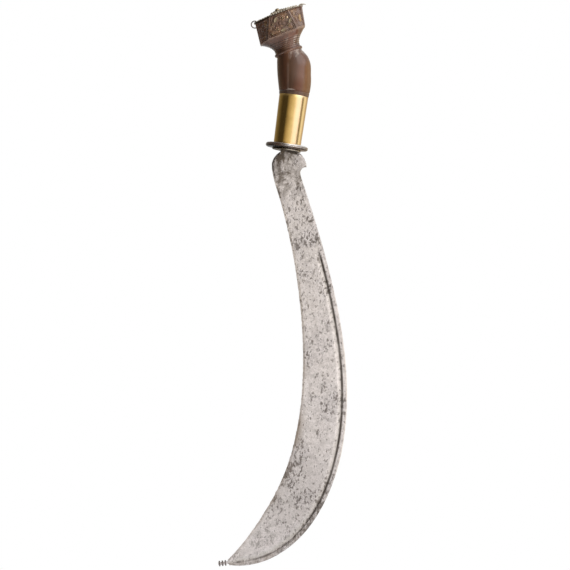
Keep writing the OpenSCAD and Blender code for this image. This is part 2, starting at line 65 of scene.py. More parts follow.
MM = 0.001
Piece = bpy.types.Object
Socket = bpy.types.NodeSocket
Tree = bpy.types.NodeTree
Material = bpy.types.Material
Point = Tuple[float, float]
Span = Tuple[float, float]
Colour = Tuple[float, float, float]
Stops = Sequence[Tuple[float, Colour]]


class Body(str, Enum):
    """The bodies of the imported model."""

    KNIFE = "knife"
    RING = "ring"


class Slot(str, Enum):
    """The record's material slots."""

    STEEL = "steel"
    IRON = "dark_iron"
    POLISHED = "polished_brass"
    AGED = "aged_brass"
    COPPER = "copper_inlay"
    WOOD = "wood"
    RESIN = "resin"


# Shader graphs


class Graph:
    """A node tree with short ways to add nodes and join them."""

    def __init__(self, tree: Tree) -> None:
        """Keeps the tree that nodes go into."""
        self.tree = tree

    def put(self, socket: Socket, value: Any) -> None:
        """Links a socket to another one, or sets its constant.

        Args:
            socket: the input to fill.
            value: an output socket, a number, or a colour of three or four numbers.
        """
        if isinstance(value, Socket):
            self.tree.links.new(value, socket)
        elif isinstance(value, (tuple, list)) and len(value) == 3 and socket.type == "RGBA":
            socket.default_value = (*value, 1.0)
        else:
            socket.default_value = value

    def node(self, kind: str, inputs: Optional[Dict[Any, Any]] = None, **settings: Any) -> bpy.types.Node:
        """Adds a node.

        Args:
            kind: the node's type name, without its ShaderNode prefix.
            inputs: values or sockets for its inputs, by name or number.
            **settings: the node's own properties.

        Returns:
            The new node.
        """
        made = self.tree.nodes.new(kind if kind.startswith("Node") else "ShaderNode" + kind)
        for name, value in settings.items():
            setattr(made, name, value)
        for key, value in (inputs or {}).items():
            self.put(made.inputs[key], value)
        return made

    def math(self, operation: str, *values: Any, clamp: bool = False) -> Socket:
        """Adds an arithmetic step taken along two or more values in turn.

        Args:
            operation: the step's type.
            *values: numbers or sockets.
            clamp: whether each result is kept from 0 to 1.

        Returns:
            The last result.
        """
        result = values[0]
        for value in values[1:]:
            inputs = {0: result, 1: value}
            result = self.node("Math", inputs, operation=operation, use_clamp=clamp).outputs[0]
        return result

    def size_of(self, value: Any) -> Socket:
        """Returns a number without its sign."""
        return self.node("Math", {0: value}, operation="ABSOLUTE").outputs[0]

    def sign_of(self, value: Any) -> Socket:
        """Returns 1 where a number is over 0 and -1 where it is under."""
        return self.node("Math", {0: value}, operation="SIGN").outputs[0]

    def times(self, *factors: Any, clamp: bool = False) -> Socket:
        """Returns the product of its factors."""
        return self.math("MULTIPLY", *factors, clamp=clamp)

    def plus(self, *terms: Any, clamp: bool = False) -> Socket:
        """Returns the sum of its terms."""
        return self.math("ADD", *terms, clamp=clamp)

    def less(self, whole: Any, part: Any, clamp: bool = False) -> Socket:
        """Returns a number less another one."""
        return self.math("SUBTRACT", whole, part, clamp=clamp)

    def most(self, *values: Any) -> Socket:
        """Returns the largest of its values."""
        return self.math("MAXIMUM", *values)

    def mix(self, share: Any, a: Any, b: Any) -> Socket:
        """Returns colour a turned towards colour b by a share."""
        return self.node("Mix", {0: share, 6: a, 7: b}, data_type="RGBA").outputs[2]

    def blend(self, share: Any, a: Any, b: Any) -> Socket:
        """Returns number a turned towards number b by a share."""
        return self.node("Mix", {0: share, 2: a, 3: b}, data_type="FLOAT").outputs[0]

    def span(self, value: Any, low: Any, high: Any) -> Socket:
        """Returns a smooth rise from 0 where the value is low to 1 where it is high."""
        inputs = {0: value, 1: low, 2: high}
        return self.node("MapRange", inputs, interpolation_type="SMOOTHSTEP").outputs[0]

    def where(self, *tests: Tuple[Any, Span]) -> Socket:
        """Returns 1 where each number is past its span, fading to 0 where any is before it."""
        return self.times(*[self.span(value, *span) for value, span in tests])

    def noise(self, vector: Any, scale: Any, detail: float = 4.0, rough: float = 0.55) -> Any:
        """Returns fractal noise from 0 to 1."""
        inputs = {"Vector": vector, "Scale": scale, "Detail": detail, "Roughness": rough}
        return self.node("TexNoise", inputs).outputs["Fac"]

    def cells(self, vector: Any, scale: Any) -> Socket:
        """Returns the distance to the nearest point of a scattered pattern."""
        return self.node("TexVoronoi", {"Vector": vector, "Scale": scale}).outputs["Distance"]

    def drawn_out(self, vector: Any, share: float) -> Socket:
        """Returns a vector with its third axis shortened, which draws a pattern out along it."""
        return self.node("Mapping", {"Vector": vector, "Scale": (1.0, 1.0, share)}).outputs[0]

    def axes(self, vector: Any) -> Any:
        """Returns a vector's three numbers, by the names X, Y and Z."""
        return self.node("SeparateXYZ", {0: vector}).outputs

    def bump(self, height: Any, depth: float, strength: float, normal: Any = None) -> Socket:
        """Turns a height into normals.

        Args:
            height: the height, from 0 to 1.
            depth: its full range in metres.
            strength: how strongly it shows.
            normal: the normals that it is laid over.

        Returns:
            The new normals.
        """
        inputs = {"Height": height, "Distance": depth, "Strength": strength}
        if normal is not None:
            inputs["Normal"] = normal
        return self.node("Bump", inputs).outputs[0]

    def group(self, tree: Tree, inputs: Dict[str, Any]) -> Any:
        """Adds a shared node group with its own input values and returns its outputs."""
        made = self.node("Group")
        made.node_tree = tree
        for key, value in inputs.items():
            self.put(made.inputs[key], value)
        return made.outputs


def new_group(name: str, inputs: Dict[str, str], outputs: Sequence[str]) -> Tuple[Graph, Any, Any]:
    """Makes an empty node group with named sockets.

    Args:
        name: the group's name.
        inputs: each input's name and socket type.
        outputs: each output's name; all are numbers.

    Returns:
        The group's graph, the outputs of its input node and the inputs of its output node.
    """
    tree = bpy.data.node_groups.new(name, "ShaderNodeTree")
    for label, kind in inputs.items():
        tree.interface.new_socket(label, in_out="INPUT", socket_type="NodeSocket" + kind)
    for label in outputs:
        tree.interface.new_socket(label, in_out="OUTPUT", socket_type="NodeSocketFloat")
    graph = Graph(tree)
    return graph, graph.node("NodeGroupInput").outputs, graph.node("NodeGroupOutput").inputs


def patches_group() -> Tree:
    """Builds cloudy patches: a mask that is 1 where layered noise passes a threshold."""
    inputs = {"Vector": "Vector", "Scale": "Float", "Threshold": "Float", "Softness": "Float"}
    graph, given, out = new_group("patches", inputs, ["Mask"])
    coarse = graph.noise(given["Vector"], given["Scale"], detail=6.0, rough=0.62)
    low = graph.less(given["Threshold"], given["Softness"])
    high = graph.plus(given["Threshold"], given["Softness"])
    graph.put(out["Mask"], graph.span(coarse, low, high))
    return graph.tree


def pits_group() -> Tree:
    """Builds corrosion pits: small ragged spots, denser where the density input is high."""
    inputs = {"Vector": "Vector", "Scale": "Float", "Density": "Float"}
    graph, given, out = new_group("pits", inputs, ["Mask", "Height"])
    finer, raggedness, largest, core = 2.3, 0.55, 0.5, 0.4
    ragged = graph.noise(given["Vector"], graph.times(given["Scale"], finer), detail=3.0, rough=0.6)
    shift = graph.times(graph.less(ragged, 0.5), raggedness)
    near = graph.plus(graph.cells(given["Vector"], given["Scale"]), shift)
    reach = graph.times(given["Density"], largest)
    spots = graph.span(near, reach, graph.times(reach, core))
    graph.put(out["Mask"], spots)
    graph.put(out["Height"], graph.less(1.0, spots))
    return graph.tree


def streaks_group() -> Tree:
    """Builds streaks along the vector's third axis, as of grain or of grinding."""
    inputs = {"Vector": "Vector", "Scale": "Float", "Contrast": "Float"}
    graph, given, out = new_group("streaks", inputs, ["Value"])
    shortening = 0.07
    stretched = graph.drawn_out(given["Vector"], shortening)
    fine = graph.noise(stretched, given["Scale"], detail=5.0, rough=0.65)
    centred = graph.times(graph.less(fine, 0.5), given["Contrast"])
    graph.put(out["Value"], graph.plus(centred, 0.5, clamp=True))
    return graph.tree


def wear_group() -> Tree:
    """Builds wear: a mask of rubbed ridges and one of dirt in hollows, broken up by noise."""
    inputs = {"Vector": "Vector", "Scale": "Float", "Spread": "Float"}
    graph, given, out = new_group("wear", inputs, ["Ridges", "Hollows"])
    raised, sunk, looseness = 0.51, 0.49, 0.06
    point = graph.node("NewGeometry").outputs["Pointiness"]
    loose = graph.times(graph.less(graph.noise(given["Vector"], given["Scale"]), 0.5), looseness)
    bent = graph.plus(point, loose)
    graph.put(out["Ridges"], graph.span(bent, raised, graph.plus(raised, given["Spread"])))
    graph.put(out["Hollows"], graph.span(bent, sunk, graph.less(sunk, given["Spread"])))
    return graph.tree


@dataclass
class Effects:
    """The shader node groups that the finishes share, each built once."""

    patches: Tree = field(default_factory=patches_group)
    pits: Tree = field(default_factory=pits_group)
    streaks: Tree = field(default_factory=streaks_group)
    wear: Tree = field(default_factory=wear_group)


class Layer(NamedTuple):
    """A layer of cloudy patches.

    The scale sets their size, the threshold and the softness their edge, and the share how
    strongly they show.
    """

    scale: float
    threshold: float
    softness: float
    share: float = 1.0


class Relief(NamedTuple):
    """Fine relief of a surface: the scale and detail of its noise, its depth and its strength."""

    scale: float
    detail: float
    depth: float
    strength: float


class Surface(Graph):
    """A material in the making: its graph, its shader and the tone laid on it so far."""

    def __init__(self, name: str, effects: Effects, tone: Any, **constants: Any) -> None:
        """Makes an empty material.

        Args:
            name: the material's name.
            effects: the shared node groups.
            tone: the colour to start from.
            **constants: values that are the same all over, by socket name with _ for spaces.
        """
        self.material = bpy.data.materials.new(name)
        self.material.use_nodes = True
        super().__init__(self.material.node_tree)
        self.effects = effects
        self.shader = self.tree.nodes["Principled BSDF"]
        for key, value in constants.items():
            self.put(self.shader.inputs[key.replace("_", " ")], value)
        self.place = self.node("TexCoord").outputs["Object"]
        self.tone = tone

    def stored(self, name: str) -> Socket:
        """Returns a number that a piece stores on its vertices."""
        return self.node("Attribute", attribute_name=name).outputs["Fac"]

    def facing(self) -> Any:
        """Returns the three numbers of the direction that the surface faces."""
        return self.axes(self.node("NewGeometry").outputs["Normal"])

    def tint(self, mask: Any, colour: Any, share: float = 1.0) -> None:
        """Turns the tone laid so far towards a colour where a mask is 1, by a share."""
        weight = mask if share == 1.0 else self.times(mask, share)
        self.tone = self.mix(weight, self.tone, colour)

    def patches(self, layer: Layer, vector: Any = None, threshold: Any = None) -> Socket:
        """Masks a layer of patches.

        Args:
            layer: the patches' size and edge.
            vector: the place that the pattern follows, the object's own by default.
            threshold: one that changes over the surface, in place of the layer's.

        Returns:
            The mask.
        """
        inputs = {
            "Vector": self.place if vector is None else vector,
            "Scale": layer.scale,
            "Threshold": layer.threshold if threshold is None else threshold,
            "Softness": layer.softness,
        }
        return self.group(self.effects.patches, inputs)["Mask"]

    def lay(self, layer: Layer, colour: Any, vector: Any = None) -> Socket:
        """Tints by a layer of patches as strongly as it says.

        Args:
            layer: the patches.
            colour: what they turn the tone towards.
            vector: the place that the pattern follows, the object's own by default.

        Returns:
            The mask of the patches.
        """
        mask = self.patches(layer, vector)
        self.tint(mask, colour, layer.share)
        return mask

    def raised(self, relief: Relief, normal: Any = None) -> Socket:
        """Returns normals with a noisy relief laid over them."""
        height = self.noise(self.place, relief.scale, relief.detail)
        return self.bump(height, relief.depth, relief.strength, normal)

    def pits(self, scale: float, density: Any) -> Any:
        """Returns the Mask and the Height of corrosion pits."""
        return self.group(self.effects.pits, {"Vector": self.place, "Scale": scale, "Density": density})

    def streaks(self, scale: float, contrast: float) -> Socket:
        """Returns streaks up and down the object."""
        inputs = {"Vector": self.place, "Scale": scale, "Contrast": contrast}
        return self.group(self.effects.streaks, inputs)["Value"]

    def wear(self, scale: float, spread: float) -> Any:
        """Returns the masks of worn Ridges and dirty Hollows."""
        return self.group(self.effects.wear, {"Vector": self.place, "Scale": scale, "Spread": spread})

    def finish(self, rough: Any, normal: Any = None) -> Material:
        """Joins the tone, the roughness and the normals to the shader.

        Args:
            rough: the roughness.
            normal: the normals, where the surface has any relief.

        Returns:
            The finished material.
        """
        self.put(self.shader.inputs["Base Color"], self.tone)
        self.put(self.shader.inputs["Roughness"], rough)
        if normal is not None:
            self.put(self.shader.inputs["Normal"], normal)
        return self.material


@dataclass(frozen=True)
class Finish:
    """What every finish has: the name of its material."""

    name: str

    def build(self, effects: Effects) -> Material:
        """Builds the material from the shared effects."""
        raise NotImplementedError


class BladeMarks(NamedTuple):
    """What the blade stores on its vertices for its finish.

    Along and across are shares, from 0 at the root and from -1 at the edge to 1 at the spine.
    Inside, outside and radial are metres from the spine, the edge and the finial's axis.
    """

    along: Any
    across: Any
    inside: Any
    outside: Any
    radial: Any


@dataclass(frozen=True)
class ForgedSteel(Finish):
    """Old forged steel, cleaned to a pale satin and mottled with pits and stains.

    Each pair of numbers is where a mask starts and where it is whole. Pairs that end in _along
    are shares of the blade's length, and the rest are metres.
    """

    pale: Colour = (0.955, 0.9, 0.905)
    grey: Colour = (0.5, 0.46, 0.45)
    speck: Colour = (0.15, 0.125, 0.11)
    # blotch colour, also laid as painted shadow on the shoulder under the guard
    blotch_and_shadow: Colour = (0.15, 0.12, 0.095)
    rust: Colour = (0.3, 0.235, 0.18)
    # painted shade for the fuller's hollow
    fuller_shade: Colour = (0.5, 0.47, 0.38)
    # painted shade: the dark line along the fuller's wall and the shadow line under the guard
    line: Colour = (0.085, 0.068, 0.055)
    cloud: Layer = Layer(26.0, 0.54, 0.1, 0.18)
    smudge: Layer = Layer(130.0, 0.55, 0.08, 0.34)
    heavy: Layer = Layer(95.0, 0.48, 0.06, 0.5)
    small: Layer = Layer(210.0, 0.5, 0.07, 0.36)
    broad: Layer = Layer(430.0, 0.636, 0.035, 0.85)
    spots: Layer = Layer(250.0, 0.636, 0.045, 0.75)
    stain: Layer = Layer(60.0, 0.5, 0.14, 0.5)
    broken: Layer = Layer(110.0, 0.5, 0.1)
    mottle_share: float = 0.4
    grain_share: float = 0.26
    edge_stain: Layer = Layer(24.0, 0.56, 0.06, 0.25)
    shoulder_along: Span = (0.055, 0.01)
    upper_along: Span = (0.55, 0.0)
    neck_along: Span = (0.0, -0.06)
    neck_share: float = 0.12
    spine_across: Span = (-0.2, 0.5)
    spine_share: float = 0.06
    shade_along: Span = (-0.02, -0.06)
    shade_x: Span = (0.012, -0.004)
    shade_share: float = 0.34
    hook_x: Span = (0.004, 0.013)
    hook_z: Span = (-0.036, -0.024)
    hook_clean: float = 0.8
    guard_shadow_left: Span = (-0.002, 0.003)
    guard_shadow_right: Span = (0.016, 0.012)
    guard_shadow_level: Span = (-0.0096, -0.0084)
    guard_shadow_slope: float = 0.13
    dull_along: Span = (0.55, 0.75)
    dull_end_along: Span = (0.93, 0.8)
    dull_share: float = 0.36
    line_along: Span = (0.172, 0.2)
    hollow_far: Span = (0.013, 0.008)
    hollow_near: Span = (0.005, 0.007)
    hollow_share: float = 0.3
    rib_w: float = 0.005
    rib_soft: float = 0.003
    rib_stain_along: Span = (0.7, 0.95)
    rib_pits: Span = (0.009, 0.004)
    rib_pits_along: Span = (0.66, 0.8)
    line_w: float = 0.0019
    line_off: float = 0.0005
    line_fade_along: Span = (0.74, 0.92)
    line_break_along: Span = (0.72, 0.84)
    bevel_w: float = 0.0022
    bevel_soft: float = 0.00033
    brown_along: Span = (0.54, 0.6)
    brown_end_along: Span = (0.67, 0.63)
    brown_share: float = 0.7
    tip_along: Span = (0.8, 0.9)
    finial_along: Span = (1.0006, 1.002)
    disc_radial: Span = (0.0018, 0.0023)
    disc_share: float = 0.9
    pit_scale: float = 700.0
    pit_density: float = 0.52
    pit_share: float = 0.3
    thinning: float = 0.17
    drawing: float = 0.6
    pitted_along: Span = (0.1, 0.0)
    pitted: Span = (0.34, 0.06)
    tip_specks: Span = (1.0, 0.6)
    line_strength: Span = (0.9, 0.55)
    metallic: Span = (0.7, 0.9)
    rough: Span = (0.4, 0.52)
    pit_rough: float = 0.15
    turned_along: Span = (0.34, 0.16)
    turned: Span = (0.78, 0.97)
    dents: Relief = Relief(30.0, 3.0, 1.2 * MM, 0.6)

    def build(self, effects: Effects) -> Material:
        """Builds the material; it reads the attributes that the blade's mark function stores."""
        work = Surface(self.name, effects, self.pale)
        marks = BladeMarks(*[work.stored(name) for name in BladeMarks._fields])
        along, inside = marks.along, marks.inside
        cloud = work.lay(self.cloud, self.grey)
        self.mottle(work)
        self.stain_shoulder(work, marks)
        dull = work.where((along, self.dull_along), (along, self.dull_end_along))
        work.tint(dull, self.grey, self.dull_share)
        # painted shade: the fuller's hollow is darkened to tone down its reflection
        fuller_shade = work.where((inside, self.hollow_far), (inside, self.hollow_near), (along, self.line_along))
        work.tint(fuller_shade, self.fuller_shade, self.hollow_share)
        density = self.corrosion(work, marks, cloud, dull)
        fine = work.pits(self.pit_scale, work.plus(density, self.pit_density))
        work.tint(fine["Mask"], self.speck, self.pit_share)
        broad = self.speckle(work, along, density)
        self.draw_rib(work, marks)
        self.brown_edge(work, marks)
        self.cap_finial(work, marks)
        keen = work.span(marks.outside, self.bevel_w + self.bevel_soft, self.bevel_w - self.bevel_soft)
        work.put(work.shader.inputs["Metallic"], work.blend(keen, *self.metallic))
        rough = work.plus(work.blend(cloud, *self.rough), work.times(fine["Mask"], self.pit_rough))
        relief = work.bump(work.streaks(900.0, 1.0), 0.04 * MM, 0.5)
        relief = work.bump(fine["Height"], 0.1 * MM, 0.5, relief)
        relief = work.bump(work.less(1.0, broad), 0.15 * MM, 0.7, relief)
        relief = work.raised(self.dents, relief)
        turned_to = work.times(keen, work.blend(work.span(along, *self.turned_along), *self.turned))
        return work.finish(rough, self.worn_over(work, relief, turned_to))

    def mottle(self, work: Surface) -> None:
        """Greys the clean metal with smudges and a fine mottle."""
        work.lay(self.smudge, self.grey)
        mottle = work.span(work.noise(work.place, 330.0, detail=6.0, rough=0.7), 0.4, 0.62)
        grainy = work.span(work.noise(work.place, 800.0, detail=3.0, rough=0.6), 0.42, 0.62)
        work.tint(mottle, self.grey, self.mottle_share)
        work.tint(grainy, self.grey, self.grain_share)

    def stain_shoulder(self, work: Surface, marks: BladeMarks) -> None:
        """Blotches the shoulder, all but its hook, with a painted shadow under the guard, and paints a dark
        shadow line right under the guard.
        """
        spot = work.axes(work.place)
        heavy = work.times(work.patches(self.heavy), self.heavy.share)
        small = work.times(work.patches(self.small), self.small.share)
        neck = work.times(work.span(marks.along, *self.neck_along), self.neck_share)
        spine = work.times(work.span(marks.across, *self.spine_across), self.spine_share)
        # painted shadow: the shoulder darkens just under the guard
        shade = work.where((marks.along, self.shade_along), (spot["X"], self.shade_x))
        blotches_and_shadow = work.plus(heavy, small, neck, spine, work.times(shade, self.shade_share), clamp=True)
        hook = work.where((spot["X"], self.hook_x), (spot["Z"], self.hook_z))
        kept = work.less(1.0, work.times(hook, self.hook_clean))
        work.tint(work.times(work.span(marks.along, *self.shoulder_along), blotches_and_shadow, kept), self.blotch_and_shadow)
        # painted shadow: a dark line where the shoulder meets the guard
        level = work.plus(spot["Z"], work.times(spot["X"], self.guard_shadow_slope))
        ends = [(spot["X"], self.guard_shadow_left), (spot["X"], self.guard_shadow_right)]
        work.tint(work.where(*ends, (level, self.guard_shadow_level)), self.line)

    def corrosion(self, work: Surface, marks: BladeMarks, cloud: Any, dull: Any) -> Socket:
        """Works out how densely the metal is pitted: more near the hilt, in clouds and by the rib.

        Args:
            work: the material in the making.
            marks: what the blade stores.
            cloud: the mask of its clouds.
            dull: the mask of its dull stretch.

        Returns:
            The density, from 0 up.
        """
        upper = work.span(marks.along, *self.upper_along)
        worse = work.times(upper, work.blend(work.span(marks.along, *self.pitted_along), *self.pitted))
        by_rib = work.where((marks.inside, self.rib_pits), (marks.along, self.rib_pits_along))
        worse = work.plus(worse, work.times(dull, 0.2), work.times(by_rib, 0.36))
        return work.plus(work.times(cloud, 0.34), worse)

    def speckle(self, work: Surface, along: Any, density: Any) -> Socket:
        """Specks the metal, fewer at the tip.

        Args:
            work: the material in the making.
            along: the share of the blade's length.
            density: how densely the metal is pitted.

        Returns:
            The mask of the broad specks.
        """
        drawn = work.drawn_out(work.place, self.drawing)
        lowered = work.times(density, self.thinning)
        tip_fade = work.blend(work.span(along, *self.tip_along), *self.tip_specks)
        masks = []
        for layer in (self.broad, self.spots):
            masks.append(work.patches(layer, drawn, work.less(layer.threshold, lowered)))
            work.tint(work.times(masks[-1], layer.share, tip_fade), self.speck)
        return masks[0]

    def draw_rib(self, work: Surface, marks: BladeMarks) -> None:
        """Rusts the rib towards the tip and paints a dark, broken shade line beside it along the fuller's
        wall.
        """
        along, inside = marks.along, marks.inside
        stain = work.patches(self.stain)
        rib = work.span(inside, self.rib_w + self.rib_soft, self.rib_w)
        rusted = work.times(rib, work.span(along, *self.rib_stain_along), stain)
        work.tint(rusted, self.rust, self.stain.share)
        # painted shade: the line stands for the fuller's wall in shade
        off_line = work.size_of(work.less(inside, self.rib_w + self.line_off))
        drawn = work.span(off_line, self.line_w, self.line_w * 0.45)
        fade = work.blend(work.span(along, *self.line_fade_along), *self.line_strength)
        reach = work.times(work.span(along, *self.line_along), fade)
        uneven = work.plus(work.times(stain, 0.3), 0.7)
        uneven = work.blend(work.span(along, *self.line_break_along), uneven, work.patches(self.broken))
        work.tint(work.times(drawn, work.times(reach, uneven)), self.line)

    def brown_edge(self, work: Surface, marks: BladeMarks) -> None:
        """Browns the flat towards the edge, in patches and at one long stain."""
        long_stain = work.where((marks.along, self.brown_along), (marks.along, self.brown_end_along))
        patches = work.times(work.patches(self.edge_stain), self.edge_stain.share)
        spread = work.most(patches, work.times(long_stain, self.brown_share))
        work.tint(work.times(work.span(marks.across, -0.6, -1.0), spread), self.rust)

    def cap_finial(self, work: Surface, marks: BladeMarks) -> None:
        """Leaves the finial's core pale and its discs dark."""
        work.tint(work.span(marks.along, *self.finial_along), self.pale)
        discs = work.where((marks.along, self.finial_along), (marks.radial, self.disc_radial))
        work.tint(discs, self.speck, self.disc_share)

    def worn_over(self, work: Surface, relief: Any, share: Any) -> Socket:
        """Returns the normals with those of the narrow bevel turned towards the blade's faces.

        Args:
            work: the material in the making.
            relief: the normals of the whole surface.
            share: how far they are turned, which is 0 off the bevel.

        Returns:
            The turned normals.
        """
        face = work.node("CombineXYZ", {1: work.sign_of(work.facing()["Y"])}).outputs[0]
        mixed = work.node("Mix", {0: share, 4: relief, 5: face}, data_type="VECTOR").outputs[1]
        return work.node("VectorMath", {0: mixed}, operation="NORMALIZE").outputs[0]


@dataclass(frozen=True)
class DarkIron(Finish):
    """Iron under a dark brown patina, rubbed grey on its rims, where a painted highlight also lights the
    upturned rims on the right; painted shade darkens its underside on the left.
    """

    patina: Colour = (0.19, 0.155, 0.135)
    # pale colour of the rubbed ridges and of the painted highlight
    rubbed: Colour = (0.86, 0.83, 0.8)
    rust: Colour = (0.17, 0.1, 0.065)
    # here the near black of painted shade under the left side
    grime_and_shade: Colour = (0.03, 0.022, 0.016)
    cloud: Layer = Layer(120.0, 0.5, 0.12)
    ridge_share: float = 0.8
    painted_highlight_tilt: Span = (0.2, 0.6)
    painted_shade_tilt: Span = (-0.3, -0.8)
    rubbed_and_highlight_x: Span = (-0.014, 0.004)
    painted_shade_x: Span = (0.008, -0.006)
    rough: Span = (0.18, 0.32)
    scale: Relief = Relief(160.0, 5.0, 0.4 * MM, 0.6)

    def build(self, effects: Effects) -> Material:
        """Builds the material."""
        work = Surface(self.name, effects, self.patina, Metallic=0.9)
        wear = work.wear(300.0, 0.08)
        cloud = work.lay(self.cloud, self.rust)
        tilt = work.facing()["Z"]
        side = work.axes(work.place)["X"]
        # rubbed ridges together with a painted highlight on the faces turned up
        rims = work.most(work.times(wear["Ridges"], self.ridge_share), work.span(tilt, *self.painted_highlight_tilt))
        # painted shade: downturned faces on the left side go near black
        work.tint(work.where((tilt, self.painted_shade_tilt), (side, self.painted_shade_x)), self.grime_and_shade)
        # pale on the right side only, where the highlight is painted
        work.tint(work.times(rims, work.span(side, *self.rubbed_and_highlight_x)), self.rubbed)
        relief = work.bump(work.pits(700.0, 0.5)["Height"], 0.2 * MM, 0.6, work.raised(self.scale))
        return work.finish(work.blend(cloud, *self.rough), relief)


@dataclass(frozen=True)
class Brass(Finish):
    """Brass, from polished sheet to an old dull cast."""

    metal: Colour = (0.88, 0.62, 0.25)
    tarnish: Colour = (0.52, 0.35, 0.12)
    grime_and_shade: Colour = (0.09, 0.065, 0.035)
    # pale colour of handled brass, also laid as a painted highlight on the ferrule's right side
    handled_and_highlight: Colour = (0.9, 0.72, 0.5)
    cloud: Layer = Layer(75.0, 0.56, 0.16)
    drawn_share: float = 0.3
    grime_and_shade_share: float = 0.85
    age: float = 0.2
    polish: float = 0.1

    def build(self, effects: Effects) -> Material:
        """Builds the material: the older it is, the more tarnish and the duller."""
        work = Surface(self.name, effects, self.metal, Metallic=1.0)
        cloud = work.patches(self.cloud)
        work.tint(cloud, self.tarnish, 0.25 + 0.6 * self.age)
        work.tint(work.pits(420.0, 0.2 + 0.4 * self.age)["Mask"], self.tarnish, 0.1 + 0.4 * self.age)
        # paler where the pieces are handled, and as a painted highlight on the ferrule's right side
        work.tint(work.stored("handled_and_highlight"), self.handled_and_highlight)
        work.tint(work.streaks(300.0, 3.0), self.tarnish, self.drawn_share)
        # grime in hollows and dulling by age, and on the collar's left side painted shade
        dirty = work.most(work.wear(500.0, 0.1)["Hollows"], work.stored("old"))
        work.tint(dirty, self.grime_and_shade, self.grime_and_shade_share)
        lines = work.streaks(1500.0, 1.4)
        rough = work.plus(work.blend(cloud, self.polish, self.polish + 0.08), work.times(lines, 0.06))
        dents = Relief(70.0, 3.0, 0.4 * MM, 0.2 + self.age)
        return work.finish(rough, work.raised(dents, work.bump(lines, 0.01 * MM, 0.3)))


